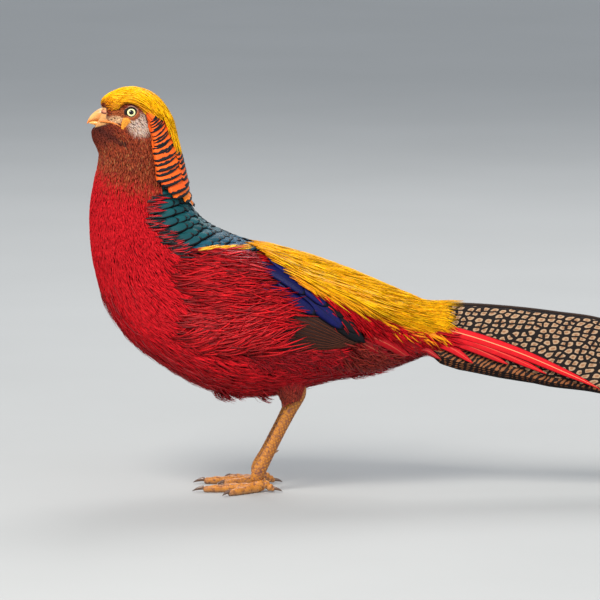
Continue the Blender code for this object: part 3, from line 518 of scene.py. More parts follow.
def finer(outline, rows):
    """An outline with more rows, for long feathers that must bend."""
    outline = np.array(outline)
    share = np.linspace(0, 1, rows)
    return np.stack([share] + [np.interp(share, outline[:, 0], outline[:, k]) for k in (1, 2)], -1)


STRAND = finer(HAIR, 6)


# A feather's share of its piece's OFBake map, and the most triangles of one piece.
PATCH, PIECE_LIMIT = 0.003, 190000


def lay(name, points, roots, tint, outline, ring, material, tip=None, shown=1.0, slot="red_plumage", replaces=()):
    """Builds feathers from an array of feathers by rows by ring. Roots are their places on the body's unwrap,
    at which each has a small patch of the OFBake map. Shown is the share of the material's pattern that a
    feather bears, from its tip back."""
    count, rows, sides = points.shape[:3]
    across, share = np.array(ring)[:, 0], np.array(outline)[:, 0]
    tint = np.broadcast_to(np.asarray(tint, float), (count, 3))
    colours = np.broadcast_to(tint[:, None, None], points.shape)
    if tip is not None:
        tip = np.broadcast_to(np.asarray(tip, float), (count, 3))
        colours = blend(np.broadcast_to(share[None, :, None], colours.shape[:3]), colours, tip[:, None, None])
    across, share = np.broadcast_arrays(across[None, None], share[None, :, None], points[..., 0])[:2]
    shown = np.broadcast_to(np.asarray(shown, float), (count,))[:, None, None]
    vane = np.stack(((across + 1) / 2, 1 - (1 - share) * shown), -1)
    low, high = roots.min(0) - 0.01, roots.max(0) + 0.01
    spots = (roots - low) / (high - low) * (1 - 2 * PATCH) + PATCH
    spots = spots[:, None, None] + np.stack((across / 2, share - 0.5), -1) * PATCH
    each = 2 * (rows - 1) * sides + 2 * (sides - 2)
    parts = max(1, math.ceil(count * each / PIECE_LIMIT))
    for k in range(parts):
        mine = slice(count * k // parts, count * (k + 1) // parts)
        faces = ring_faces(mine.stop - mine.start, rows, sides)
        label = name if parts == 1 else f"{name}_{k + 1}"
        build(label, points[mine], faces, material, colours[mine], vane[mine], spots[mine],
              replaces=replaces if k == 0 else ())


def columns(count, *values):
    """Numbers or arrays as columns of so many rows."""
    return [np.broadcast_to(np.asarray(v, float), (count,))[:, None] for v in values]


def lifts(outline, ring, low, high, arch, thick, camber):
    """How far each place of each feather stands off, by rows and ring."""
    share, wide, rise = np.array(outline).T
    across, height = np.array(ring).T
    lift = low + (high - low) * rise + arch * np.sin(np.pi * share)
    lift = lift[..., None] + thick[..., None] * (height * (0.35 + 0.65 * wide[:, None]))
    return lift - camber[..., None] * (across ** 2) * wide[:, None]


def feathers(name, s, degrees, length, width, low, high, tint, material, turn=0.0, bend=0.0, arch=0.0, curl=0.0,
             outline=STRAND, ring=HAIR_RING, thick=0.22, camber=0.0, **rest):
    """Lays feathers over the body. Turn is the way a feather points, in degrees down from straight back, bend
    how far it curves on its way, low and high its lift at root and tip, arch the lift of its middle, and curl
    how far its upper side draws back at the tip."""
    count, rows = len(s), len(outline)
    share, wide, _ = np.array(outline).T
    across = np.array(ring)[:, 0]
    length, width, turn, bend, curl = columns(count, length, width, turn, bend, curl)
    heading = np.radians(turn + bend * share[None])
    middle = np.radians(turn + bend * share[None] / 2)
    back = (length * share * np.cos(middle))[..., None]
    down = (length * share * np.sin(middle))[..., None]
    out = (width / 2 * wide)[..., None] * across
    back = back - np.sin(heading)[..., None] * out - (curl * share)[..., None] * (0.5 - 0.5 * across) ** 2
    down = down + np.cos(heading)[..., None] * out
    at_s, at_a = spread(s, degrees, back.reshape(count, -1), down.reshape(count, -1))
    lift = lifts(outline, ring, *columns(count, low, high, arch, thick, camber))
    points = on_body(at_s, at_a, lift.reshape(count, -1)).reshape(count, rows, len(ring), 3)
    roots = np.stack(((degrees + 180) / 360, s / UNWRAP_STATIONS), -1)
    lay(name, points, roots, tint, outline, ring, material, **rest)


def tail_down(x, z):
    """The way down the tail's left slope at which places show."""
    down = np.linspace(0, 110, 221)
    found = []
    for at, height in zip(x, z):
        heights = seen(tail_points(np.full(len(down), at), down, LEFT, 0 * down))[:, 1]
        found.append(np.interp(-height, -heights, down))
    return np.array(found)


def side_feathers(name, side, roots, tips, width, low, high, tint, material, bow=0.0, outline=BROAD,
                  ring=VANE_RING, thick=0.35, camber=0.0, over_tail=False, **rest):
    """Lays feathers on one side of the body, or on its tail's roof where that starts, by where their roots and
    tips show from the side."""
    roots, tips = np.array(roots, float), np.array(tips, float)
    count = len(roots)
    share, wide, _ = np.array(outline).T
    across = np.array(ring)[:, 0]
    width, bow = columns(count, width, bow)
    way = tips - roots
    down = unit(np.stack((way[:, 1], -way[:, 0]), -1))
    off = (bow * np.sin(np.pi * share))[..., None] + (width / 2 * wide)[..., None] * across
    spots = roots[:, None, None] + way[:, None, None] * share[:, None, None] + down[:, None, None] * off[..., None]
    s, degrees = place(spots[..., 0], spots[..., 1])
    lift = lifts(outline, ring, *columns(count, low, high, 0.0, thick, camber))
    points = on_body(s, side * degrees, lift)
    if over_tail:
        down = tail_down(spots[..., 0].ravel(), spots[..., 1].ravel()).reshape(s.shape)
        points = blend(smooth(138, 160, spots[..., 0]), points, tail_points(spots[..., 0], down, side, lift))
    roots = np.stack((s[:, 0, 0] / UNWRAP_STATIONS, degrees[:, 0, 0] / 180), -1)
    lay(name, points, roots, tint, outline, ring, material, **rest)


def tail_feathers(name, side, roots, tips, width, low, high, tint, material, bow=0.0, outline=BROAD, ring=VANE_RING,
                  thick=0.35, camber=0.0, **rest):
    """Lays feathers on one slope of the tail, by the x and the way below the ridge of their roots and tips."""
    roots, tips = np.array(roots, float), np.array(tips, float)
    count = len(roots)
    share, wide, _ = np.array(outline).T
    across = np.array(ring)[:, 0]
    width, bow = columns(count, width, bow)
    way = tips - roots
    x = roots[:, :1] + way[:, :1] * share
    down = roots[:, 1:] + way[:, 1:] * share + bow * np.sin(np.pi * share)
    down = down[..., None] + (width / 2 * wide)[..., None] * across
    lift = lifts(outline, ring, *columns(count, low, high, 0.0, thick, camber))
    points = tail_points(x[..., None] + 0 * down, down, side, lift)
    lay(name, points, np.stack((roots[:, 0] / 700, roots[:, 1] / 90), -1), tint, outline, ring, material, **rest)


def turn_for(s, degrees, slope):
    """The turn with which a feather on the left side shows at a slope, in degrees up from level."""
    by_s, by_a = look(BY_STATION, s, degrees), look(BY_ANGLE, s, degrees)
    ahead = unit(by_s)
    down = seen(unit(by_a - ahead * (by_a * ahead).sum(-1)[:, None]))
    ahead = seen(ahead)
    x, z = np.cos(np.radians(slope)), np.sin(np.radians(slope))
    turn = np.degrees(np.arctan2(-(ahead[:, 0] * z - ahead[:, 1] * x), down[:, 0] * z - down[:, 1] * x))
    shown = np.cos(np.radians(turn)) * (ahead[:, 0] * x + ahead[:, 1] * z)
    shown = shown + np.sin(np.radians(turn)) * (down[:, 0] * x + down[:, 1] * z)
    return signed(np.where(shown < 0, turn + 180, turn))


def within(x, z, outline):
    """Whether places of the side view lie inside an outline."""
    inside = np.zeros(x.shape, bool)
    for (x1, z1), (x2, z2) in zip(outline, outline[1:] + outline[:1]):
        crosses = (z1 > z) != (z2 > z)
        inside ^= crosses & (x < (x2 - x1) * (z - z1) / (z2 - z1 + 1e-9) + x1)
    return inside


# Steps across and along that lay places evenly.
EVEN_STEPS = np.array((0.7548776662, 0.5698402910))


def scatter(spacing, low, high, keep, seed):
    """Even places over the body between two stations, about so far apart, where keep says so."""
    rows = (STATIONS >= low) & (STATIONS <= high)
    densest = AREA[rows].max()
    count = int(densest * (high - low) * 360 / spacing ** 2)
    spots = (seed * 0.37 + np.arange(count)[:, None] * EVEN_STEPS) % 1
    s, degrees = low + spots[:, 0] * (high - low), spots[:, 1] * 360 - 180
    chance = np.random.default_rng(seed).random(count)
    kept = (look(AREA, s, degrees)[..., 0] > chance * densest) & keep(s, np.abs(degrees))
    return s[kept], degrees[kept]


def eye_distance(s, degrees):
    """How far places on the head are from the eye's middle, along the plumage."""
    centre = on_body(*EYE_PLACE)
    points = on_body(s, np.abs(degrees))
    return length_of(points - centre)


def near_spot(s, degrees, spot, size):
    """1 at a spot of the side view fading to 0 past its half sizes."""
    off = (seen(on_body(s, np.abs(degrees))) - spot) / size
    return 1 - smooth(0.55, 1.15, length_of(off))


def near_line(s, degrees, line, wide):
    """1 on a line of the side view fading to 0 at its half width."""
    shown = seen(on_body(s, np.abs(degrees)))
    line = np.array(line)
    gap = np.full(s.shape, np.inf)
    for a, b in zip(line[:-1], line[1:]):
        share = np.clip(((shown - a) * (b - a)).sum(-1) / ((b - a) ** 2).sum(), 0, 1)
        gap = np.minimum(gap, length_of(shown - a - share[..., None] * (b - a)))
    return 1 - smooth(0.3 * wide, wide, gap)


def edge_of(line):
    """A line of the side view as angles from the back line by station."""
    return sorted(zip(*(v.tolist() for v in place(*np.array(line).T))))


CREST_EDGE = edge_of(CREST_LINE) + CREST_REAR
RUMP_EDGE = [(13.2, 0.0)] + edge_of(GOLD_LINE) + [(21.5, 90.0)]
CAPE_FRONT = edge_of(CAPE_LINE) + [(9.9, 0.0)]
# Where the eye and the patches of other colours on the head show from the side, and their half sizes.
EYE = (-100.0, 321.2)
EYE_PLACE = tuple(v[0] for v in place(*EYE))
EAR_SPOT, EAR_SIZE = (-93.5, 312.3), (12.5, 10.2)
LORE_SPOT, LORE_SIZE = (-111.5, 319.5), (9.0, 7.0)
CREAM_SPOT, CREAM_SIZE = (-114.8, 316.2), (8.0, 3.2)
BROW_SPOT, BROW_SIZE = (-125.5, 325.0), (4.0, 4.0)
CHIN_SPOT, CHIN_SIZE = (-125.0, 303.0), (14.0, 8.0)
# The painted shadow beneath the jaw's feathered edge, along the dark fold of the throat that the photo shows from
# the chin back.
THROAT_SHADOW_LINE = ((-129.5, 309.0), (-121.0, 303.5), (-112.0, 298.8), (-105.5, 296.0))
# The bare horn and skin round the bill, as it shows from the side.
BILL_FIELD = [(-142, 334), (-127.0, 327.5), (-122.0, 325.3), (-120.9, 321.0), (-121.6, 316.6), (-116.5, 312.3),
              (-131.5, 308.6), (-142, 306)]


def plumage(s, degrees, rng):
    """The colour of the body's feathers by their place, with a little chance in each."""
    d = np.abs(degrees)
    chance = rng.normal(0, 1, s.shape)
    red = blend(0.08 + 0.2 * chance, SCARLET, BRIGHT_SCARLET)
    # Darker crimson low on the rear flanks and belly and under the breast: the underside's own deeper red together
    # with painted shade there.
    deep = smooth(13.8, 18.5, s) * smooth(100, 140, d) + 0.55 * smooth(150, 178, d) * smooth(8.0, 11.0, s)
    red = blend(deep * (0.65 + 0.1 * chance), red, CRIMSON)
    rust = blend(0.4 + 0.35 * chance, RUST, DARK_RUST)
    rust = blend(smooth(4.6, 2.2, s) * smooth(95, 120, d) * 0.8, rust, DARK_RUST)
    rust = blend(np.where((chance > 1.45) & (s > 3.6), 0.5, 0.0), rust, TAN)
    # Painted shadow along the throat's fold, beneath the jaw's edge.
    fold = near_line(s, d, THROAT_SHADOW_LINE, 2.8)
    rust = blend(fold * (0.85 + 0.1 * chance), rust, THROAT_SHADOW)
    colour = blend(smooth(-0.8, 0.75, s - along(RUST_END, d) + 0.22 * chance), rust, red)
    colour = blend(near_spot(s, d, CHIN_SPOT, CHIN_SIZE) * 0.6, colour, CHIN)
    colour = blend(near_spot(s, d, LORE_SPOT, LORE_SIZE) * (0.75 + 0.2 * chance), colour, LORE)
    colour = blend(near_spot(s, d, CREAM_SPOT, CREAM_SIZE) * (0.85 + 0.2 * chance), colour, CREAM)
    colour = blend(near_spot(s, d, BROW_SPOT, BROW_SIZE) * (0.8 + 0.2 * chance), colour, BROW)
    ear = near_spot(s, d, EAR_SPOT, EAR_SIZE) * np.where(s < 5.6, 1, 0)
    return blend(ear * (0.9 + 0.1 * chance), colour, blend(0.5 + 0.3 * chance, GREY_WHITE, EAR_TAN))


def coat_depth(s, degrees):
    """How far the skin lies under the plumage: less on the face, and under the feathers that the solids have."""
    d = np.abs(degrees)
    depth = 0.9 + 1.9 * smooth(4.6, 7.2, s) + 1.7 * (1 - smooth(0.4, 1.5, s))
    bare = np.maximum.reduce((d < along(CREST_EDGE, s), (d < along(CAPE_FRONT, s)) & (s < 9.6) & (s > 4.4),
                              (d < along(RUMP_EDGE, s)) & (s > 13.1)))
    return np.where(bare, 0.9, depth)


def dark_material():
    """The black wing feathers, with barbs that slant off the shaft, and painted shade towards the roots."""
    m = Shader("dark_wing_feathers", specular=0.08)
    across, share, _ = m.vane()
    barbs = m.math("SUBTRACT", share, m.scaled(m.off(across), 0.5))
    stripe = m.wave(m.scaled(barbs, 213.52))
    speck = m.noise(900.0, 2.0)
    value = m.scaled(stripe, 0.22, 0.78)
    value = m.scaled(value, m.scaled(speck, 0.5, 0.75))
    # Painted shade: darker towards the root.
    value = m.scaled(value, m.scaled(m.window(share, 0.0, 0.75), 0.2, 0.8))
    m.bump(m.math("ADD", stripe, speck), 0.35, 0.25)
    return m.finish(m.tinted(value))


def hair_material(name, roughness=0.38, shade=0.45, specular=0.4):
    """Silky strands: their own colour with painted shade towards the root, deeper in hue there, and fine lines
    along them.
    """
    m = Shader(name, roughness=roughness, specular=specular)
    across, share, _ = m.vane()
    line = m.math("SINE", m.scaled(across, 22.0))
    speck = m.noise(500.0, 2.0)
    # Painted shade: darker towards the root, where the strands lie under others.
    value = m.scaled(m.window(share, 0.05, 0.8), 1 - shade, shade)
    value = m.scaled(value, m.scaled(speck, 0.5, 0.78))
    value = m.scaled(value, m.scaled(line, 0.08, 0.96))
    # The painted shade turns the hue deeper, towards orange and red.
    deep = m.math("POWER", value, 1.45)
    tone = m.node("CombineColor", {0: value, 1: deep, 2: deep}).outputs[0]
    m.bump(line, 0.25, 0.15)
    return m.finish(m.mix(1.0, m.tint(), tone, "MULTIPLY"))


BAR_START, BAR_BLUR = 0.78, 0.012


def barred_material():
    """Cape plates: the feather's colour with a black bar across the tip, thinner at the front."""
    m = Shader("cape_plates", roughness=0.42, specular=0.18)
    across, share, _ = m.vane()
    wobble = m.scaled(m.noise(300.0, 3.0), 0.28, -0.14)
    place_along = m.math("ADD", share, wobble)
    thinner = m.scaled(m.window(across, 0.50, 1.0), 0.05)
    place_along = m.math("SUBTRACT", place_along, thinner)
    bar = m.window(place_along, BAR_START - BAR_BLUR, BAR_START + BAR_BLUR)
    barbs = m.wave(m.scaled(across, 260.0))
    value = m.scaled(barbs, 0.14, 0.88)
    colour = m.tinted(value)
    colour = m.mix(bar, colour, BLACK)
    m.bump(barbs, 0.3, 0.15)
    return m.finish(colour)


def scale_material():
    """Mantle scales: glossy green or blue, edged in black below and at the tip."""
    m = Shader("mantle_scales", roughness=0.42, specular=0.14)
    across, share, _ = m.vane()
    wobble = m.scaled(m.noise(300.0, 2.0), 0.06, -0.03)
    lower = m.window(m.math("ADD", across, wobble), 0.75, 0.81)
    tip = m.window(m.math("ADD", share, wobble), 0.88, 0.91)
    barbs = m.wave(m.scaled(m.math("ADD", share, across), 150.0))
    value = m.scaled(barbs, 0.30, 0.78)
    colour = m.tinted(value)
    colour = m.mix(m.math("MAXIMUM", lower, tip), colour, BLACK)
    m.bump(barbs, 0.35, 0.2)
    return m.finish(colour)


def build_skin():
    """One skin under the plumage, which stands for the head, neck, torso and thighs of the solids."""
    s = np.arange(0.0, 20.8, 0.1)
    turns = np.arange(0, 360, 3.0)
    at_s, at_a = np.meshgrid(s, turns, indexing="ij")
    angles = signed(at_a)
    centre_gap = eye_distance(at_s, angles)
    depth = coat_depth(at_s, angles)
    depth = depth + 1.0 * (1 - smooth(3.6, 5.4, centre_gap))
    points = on_body(at_s, at_a, -depth)
    rows, ring = at_s.shape
    faces = ring_faces(1, rows, ring)
    m = Shader("skin", roughness=0.7)
    speck = m.noise(420.0, 4.0)
    tone = m.scaled(speck, 0.8, 0.35)
    m.bump(speck, 0.6, 0.5)
    colour = m.tinted(tone)
    material = m.finish(colour)
    rng = np.random.default_rng(3)
    # The skin bears the plumage's colour darkened: painted shade in the gaps between the feathers.
    tint = plumage(at_s, angles, rng) * 0.55
    d = np.abs(angles)
    golden = (d < along(CREST_EDGE, at_s)) | ((d < along(RUMP_EDGE, at_s)) & (at_s > 13.2))
    # Painted shade: darker skin under the golden, cape and mantle feathers.
    tint = blend(golden * 1.0, tint, UNDER_GOLD_SHADE)
    caped = (d < along(CAPE_FRONT, at_s)) & (at_s > 4.6) & (at_s < 9.6) & ~golden
    tint = blend(caped * 1.0, tint, UNDER_CAPE_SHADE)
    teal = (d < along(MANTLE_EDGE, at_s)) & (at_s > 8.4) & (at_s < 13.2) & ~caped
    tint = blend(teal * 1.0, tint, UNDER_MANTLE_SHADE)
    bare = 1 - smooth(6.0, 9.5, centre_gap)
    tint = blend(bare, tint, EYE_SKIN)
    shown = seen(on_body(at_s, d))
    beak = within(shown[..., 0], shown[..., 1], BILL_FIELD)
    horny = blend(smooth(-123.0, -118.5, shown[..., 0]), BILL_SKIN, BILL_SKIN_REAR)
    tint = blend(beak * 1.0, tint, horny)
    skin = build("skin", points, faces, material, tint,
                 replaces=("head", "neck", "torso", "thigh_left", "thigh_right"))
    layer = skin.data.uv_layers.new(name="OFBake")
    corners = np.empty(len(skin.data.loops), np.int64)
    skin.data.loops.foreach_get("vertex_index", corners)
    uv = np.stack((corners % ring / ring, corners // ring / rows * 0.9), -1)
    sizes = np.empty(len(skin.data.polygons), np.int64)
    skin.data.polygons.foreach_get("loop_total", sizes)
    owner = np.repeat(np.arange(len(sizes)), sizes)
    wrapped = np.zeros(len(sizes), bool)
    np.logical_or.at(wrapped, owner, uv[:, 0] > 1 - 1.5 / ring)
    uv[:, 0] += (wrapped[owner] & (uv[:, 0] < 1.5 / ring)) * 1.0
    layer.data.foreach_set("uv", uv.astype(np.float32).ravel())
    layer.active_render = True


def tube(points, radii, sides=16, squash=(1.0, 1.0), relief=None):
    """Rings of points along a line, in an array of rows by sides. Relief adds to the radius by row and angle."""
    points, radii = np.array(points, float), np.array(radii, float)
    ahead = unit(np.gradient(points, axis=0))
    across = unit(np.cross(ahead, (0.0, 0.0, 1.0)))
    up = np.cross(across, ahead)
    turn = np.arange(sides) / sides * 2 * np.pi
    radius = np.broadcast_to(radii[:, None], (len(points), sides)).copy()
    if relief is not None:
        radius += relief(np.linspace(0, 1, len(points))[:, None], turn[None])
    side_part = across[:, None] * (radius * np.cos(turn) * squash[0])[..., None]
    up_part = up[:, None] * (radius * np.sin(turn) * squash[1])[..., None]
    return points[:, None] + side_part + up_part


def join_meshes(pieces):
    """Puts the points and faces of several closed tubes into one list."""
    points, faces, start = [], [], 0
    for rings in pieces:
        rows, ring = rings.shape[:2]
        faces += [f + start for f in ring_faces(1, rows, ring)]
        points.append(rings.reshape(-1, 3))
        start += rows * ring
    return np.concatenate(points), faces


def along_line(line, count):
    """Evenly read points of a curve through a short list of points, each with any values beside it."""
    line = np.array(line, float)
    return catmull(line, np.linspace(0, len(line) - 1, count))


# Folds of the lids: radius, thickness, how far they stand out, and their colours below and above the eye.
LID_FOLDS = (
    (3.75, 0.45, 0.25, (0.020, 0.010, 0.008), (0.010, 0.006, 0.006)),
    (4.55, 0.55, 0.05, (0.42, 0.12, 0.040), (0.018, 0.009, 0.008)),
    # Above the eye, this fold's pale colour is a painted highlight.
    (5.30, 0.45, -0.30, (0.34, 0.08, 0.025), (0.46, 0.24, 0.17)),
    (6.00, 0.50, -0.65, (0.28, 0.06, 0.020), (0.050, 0.018, 0.013)),
    (6.70, 0.40, -1.00, (0.40, 0.12, 0.045), (0.40, 0.11, 0.035)),
)


EYE_RING, LID_ROWS, LID_RING = 48, 64, 10
PUPIL, EYE_RIM = (0.002, 0.002, 0.003), (0.02, 0.012, 0.008)
IRIS, IRIS_RING = (0.88, 0.86, 0.42), (0.70, 0.60, 0.20)


def build_eyes():
    """Eyeballs with a pale iris and black pupil, and the folds of the lids round them."""
    m = Shader("eyeball", roughness=0.06, specular=0.3)
    ray = m.noise(900.0, 3.0)
    tone = m.scaled(ray, 0.35, 0.82)
    eye_material = m.finish(m.tinted(tone))
    m = Shader("eyelid", roughness=0.5, specular=0.15)
    fold = m.noise(1100.0, 3.0)
    m.bump(fold, 0.5, 0.3)
    tone = m.scaled(fold, 0.9, 0.55)
    lid_material = m.finish(m.tinted(tone))
    for word, side in SIDES:
        low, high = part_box("eye_" + word)
        centre = (np.array(low) + np.array(high)) / 2 / MM - SHIFT
        radius = (high.x - low.x) / 2 / MM - 0.05
        s, degrees = np.array([EYE_PLACE[0]]), np.array([side * EYE_PLACE[1]])
        axis = look(NORMAL, s, degrees)[0]
        up = unit(np.cross(axis, np.cross((0.0, 0.0, 1.0), axis)))
        right = np.cross(up, axis)
        theta = np.concatenate((np.linspace(0.004, 0.9, 40), np.linspace(0.95, np.pi - 0.01, 24)))
        turn = np.arange(EYE_RING) / EYE_RING * 2 * np.pi
        bulge = radius * (1 + 0.05 * (1 - smooth(0.0, 0.65, theta)))
        ring = np.cos(turn)[:, None] * right + np.sin(turn)[:, None] * up
        points = (centre + (np.sin(theta) * bulge)[:, None, None] * ring
                  + (np.cos(theta) * bulge)[:, None, None] * axis)
        width = np.sin(theta) * radius
        tint = blend(smooth(1.95, 2.12, width), PUPIL, IRIS)
        tint = blend(smooth(2.15, 2.8, width) * (1 - smooth(2.7, 3.2, width)) * 0.2, tint, IRIS_RING)
        tint = blend(smooth(3.25, 3.55, width), tint, EYE_RIM)
        tint = np.broadcast_to(tint[:, None], points.shape)
        build("eyeball_" + word, points[None], ring_faces(1, len(theta), EYE_RING), eye_material, tint,
              replaces=("eye_" + word,))
        build_lids(word, centre, (axis, up, right), radius, lid_material)


def build_lids(word, centre, axes, radius, material):
    """The folds of the lids round one eye, as rings that are thicker above it and run out to both corners."""
    axis, up, right = axes
    rings = []
    surface = math.sqrt(radius ** 2 - LID_FOLDS[0][0] ** 2)
    line = np.arange(LID_ROWS) / LID_ROWS * 2 * np.pi
    ahead = np.cos(line) * -np.sign(right[0])
    for k, (wide, thick, sunk, _, _) in enumerate(LID_FOLDS):
        corner = 1.15 * np.exp(-((1 - ahead) / 0.16) ** 2) + 0.5 * np.exp(-((1 + ahead) / 0.12) ** 2)
        wavy = wide * (1 + 0.02 * np.sin(3 * line + k) + 0.015 * np.sin(7 * line + 2 * k)) + corner
        brow = 1 + 0.3 * np.clip(np.sin(line), 0, 1)
        body = np.arange(LID_RING) / LID_RING * 2 * np.pi
        out = np.cos(line)[:, None] * right + np.sin(line)[:, None] * up
        girth = thick * brow
        points = (centre + (wavy[:, None] + girth[:, None] * np.cos(body))[..., None] * out[:, None]
                  + (surface + sunk + girth[:, None] * 0.8 * np.sin(body))[..., None] * axis)
        rings.append(points)
    count, sides = rings[0].shape[:2]
    index = np.arange(len(rings) * count * sides).reshape(len(rings), count, sides)
    after, turned = np.roll(index, -1, 1), np.roll(index, -1, 2)
    faces = [np.stack((index, turned, np.roll(after, -1, 2), after), -1).reshape(-1, 4)]
    above = smooth(-0.1, 0.5, np.sin(line))
    tint = np.array([blend(above, lower, upper) for _, _, _, lower, upper in LID_FOLDS])
    corner = np.exp(-((1 - ahead) / 0.22) ** 2) * np.array((1, 1, 0.5, 0, 0))[:, None]
    tint = blend(corner, tint, LID_FOLDS[0][4])
    tint = np.broadcast_to(tint[:, :, None], (len(rings), count, sides, 3))
    build("eyelids_" + word, np.array(rings), faces, material, tint)


# Sections of both halves of the bill from the tip back, given as those of the body are.
BILL_UPPER = np.array((
    (-138.0, 313.2, -137.9, 311.6, 0.5, 0.0), (-135.6, 318.0, -135.2, 313.6, 2.0, 0.0),
    (-131.6, 322.2, -130.8, 314.6, 3.5, 0.0), (-126.4, 325.2, -125.6, 314.2, 4.9, 0.0),
    (-119.0, 326.6, -118.6, 313.4, 5.6, 0.0),
))
BILL_LOWER = np.array((
    (-136.2, 313.6, -136.0, 312.2, 1.0, 0.0), (-131.6, 314.8, -131.0, 310.6, 3.0, 0.0),
    (-126.4, 314.4, -126.0, 309.0, 4.4, 0.0), (-119.0, 313.4, -118.8, 307.6, 5.1, 0.0),
))
NOSTRIL, NOSTRIL_DEPTH = (-123.7, 321.9), 1.3
NOSTRIL_HOLLOW_SHADE, NOSTRIL_FLAP = (0.075, 0.014, 0.010), (0.70, 0.27, 0.13)


def build_bill():
    """The two halves of the bill, in horn that is deeper orange along the cutting edges, with a painted highlight
    along the top of the upper half.
    """
    m = Shader("bill_horn", roughness=0.32, specular=0.5, coat=0.15)
    grain = m.noise(240.0, 4.0, stretch=(1, 1, 3))
    tone = m.scaled(grain, 0.6, 0.68)
    m.bump(grain, 0.25, 0.3)
    material = m.finish(m.tinted(tone))
    for name, rows, node in (("bill_upper_horn", BILL_UPPER, "bill_upper"),
                             ("bill_lower_horn", BILL_LOWER, "bill_lower")):
        read = catmull(rows, np.linspace(0, len(rows) - 1, 44))
        turns = np.arange(0, 360, 9.0)
        points = section(read[:, None], turns[None])
        if rows is BILL_UPPER:
            tint = blend(smooth(-137, -124, points[..., 0]), UPPER_TIP, UPPER_BASE)
            tint = blend(smooth(317.5, 314.0, points[..., 2]) * 0.8, tint, CUTTING_EDGE)
            # Painted highlight: paler along the top of the upper half.
            tint = blend(smooth(322.0, 325.5, points[..., 2]) * 0.6, tint, BILL_RIDGE_HIGHLIGHT)
        else:
            tint = blend(smooth(-134, -122, points[..., 0]), LOWER_TIP, LOWER_BASE)
        build(name, points[None], ring_faces(1, *points.shape[:2]), material, tint, replaces=(node,))


def lump(centre, across, up, out, sides=24):
    """A rounded lump, by its middle and three half sizes as vectors."""
    theta, turn = np.linspace(0.05, np.pi - 0.05, 16), np.arange(sides) / sides * 2 * np.pi
    ring = np.cos(turn)[:, None] * across + np.sin(turn)[:, None] * up
    return centre + np.sin(theta)[:, None, None] * ring + (np.cos(theta)[:, None] * out)[:, None]


def build_nostrils():
    """The small reddish flap of skin over each nostril, over a dark lump whose colour is painted shade in the
    nostril's hollow.
    """
    m = Shader("nostril_flap", roughness=0.5, specular=0.4)
    grain = m.noise(900.0, 3.0)
    m.bump(grain, 0.5, 0.3)
    material = m.finish(m.mix(m.scaled(grain, 0.5), m.tint(), (0.30, 0.06, 0.03)))
    for word, side in SIDES:
        s, degrees = place(*NOSTRIL)
        middle = on_body(s, side * degrees, -NOSTRIL_DEPTH)[0]
        out = look(NORMAL, s, side * degrees)[0]
        up = unit(np.cross(out, np.cross((0.25, 0.0, 1.0), out)))
        ahead = np.cross(up, out)
        hollow = lump(middle, ahead * 2.9, up * 2.2, out * 0.6)
        flap = lump(middle + up * 0.5 + ahead * 0.3 + out * 0.35, ahead * 2.2, up * 1.25, out * 0.9)
        points, faces = join_meshes((hollow, flap))
        # The dark colour of the hollow is painted shade.
        tint = np.repeat((NOSTRIL_HOLLOW_SHADE, NOSTRIL_FLAP), len(points) // 2, 0)
        build("nostril_" + word, points, faces, material, tint)


# The wattle and the corner of the mouth, as they show from the side, with a radius at each place.
WATTLE_LINE = ((-102.4, 316.0, 1.8), (-103.2, 314.4, 4.1), (-104.8, 311.7, 3.6), (-106.3, 309.1, 2.5),
               (-107.4, 306.7, 1.2))
MOUTH_LINE = ((-127.0, 313.6, 0.5), (-122.0, 313.4, 0.9), (-116.5, 312.6, 1.0), (-111.5, 310.6, 0.9),
              (-108.2, 308.6, 0.7))
WATTLE_ROWS, WATTLE_RING, MOUTH_RING = 22, 16, 12
WATTLE, MOUTH = (0.90, 0.38, 0.010), (0.84, 0.23, 0.02)


def build_wattles():
    """The small yellow wattle under each eye and the fleshy line at the corner of the mouth."""
    m = Shader("wattle", roughness=0.45, specular=0.5)
    pimple = m.node("TexVoronoi", {"Vector": m.node("NewGeometry").outputs["Position"], "Scale": 1100.0}).outputs[0]
    m.bump(pimple, 0.6, 0.4)
    shade = m.scaled(pimple, -0.6, 1.15)
    colour = m.mix(m.scaled(m.noise(420.0, 3.0), 0.7), m.tint(), (0.66, 0.15, 0.012))
    material = m.finish(m.shaded(colour, shade))
    for word, side in SIDES:
        read = along_line(WATTLE_LINE, WATTLE_ROWS)
        s, degrees = place(read[:, 0], read[:, 1])
        centre = on_body(s, side * degrees, np.full(len(s), 0.15))
        drop = tube(centre, read[:, 2], WATTLE_RING, (0.28, 1.0), lambda t, a: 0.2 * np.sin(9 * a + 30 * t))
        corner = along_line(MOUTH_LINE, WATTLE_ROWS)
        s, degrees = place(corner[:, 0], corner[:, 1])
        lip = tube(on_body(s, side * degrees, np.full(len(s), -0.3)), corner[:, 2], MOUTH_RING)
        points, faces = join_meshes((drop, lip))
        tint = np.repeat((WATTLE, MOUTH), (WATTLE_ROWS * WATTLE_RING, WATTLE_ROWS * MOUTH_RING), 0)
        build("wattle_" + word, points, faces, material, tint)


# The wing's outline in the side view.
WING_FIELD = [(6, 200), (20, 192), (50, 170), (62, 158), (80, 142), (96, 130), (96, 119), (60, 117), (14, 119),
              (6, 150)]
# How far round the eye's middle no feathers start.
EYE_OPENING = 6.6
# Length and width of the coat's feathers by station.
COAT_LENGTH = ((0.0, 1.6), (1.5, 2.3), (3.0, 3.4), (4.0, 4.2), (6.0, 5.4), (7.5, 8.0), (9.5, 10.5), (11.0, 13.0),
               (12.5, 19.0), (20.0, 19.0))
COAT_WIDTH = ((0.0, 0.5), (1.5, 0.65), (3.0, 0.9), (3.8, 1.5), (6.0, 1.5), (7.5, 1.0), (10.0, 1.0), (12.0, 1.6),
              (20.0, 1.7))


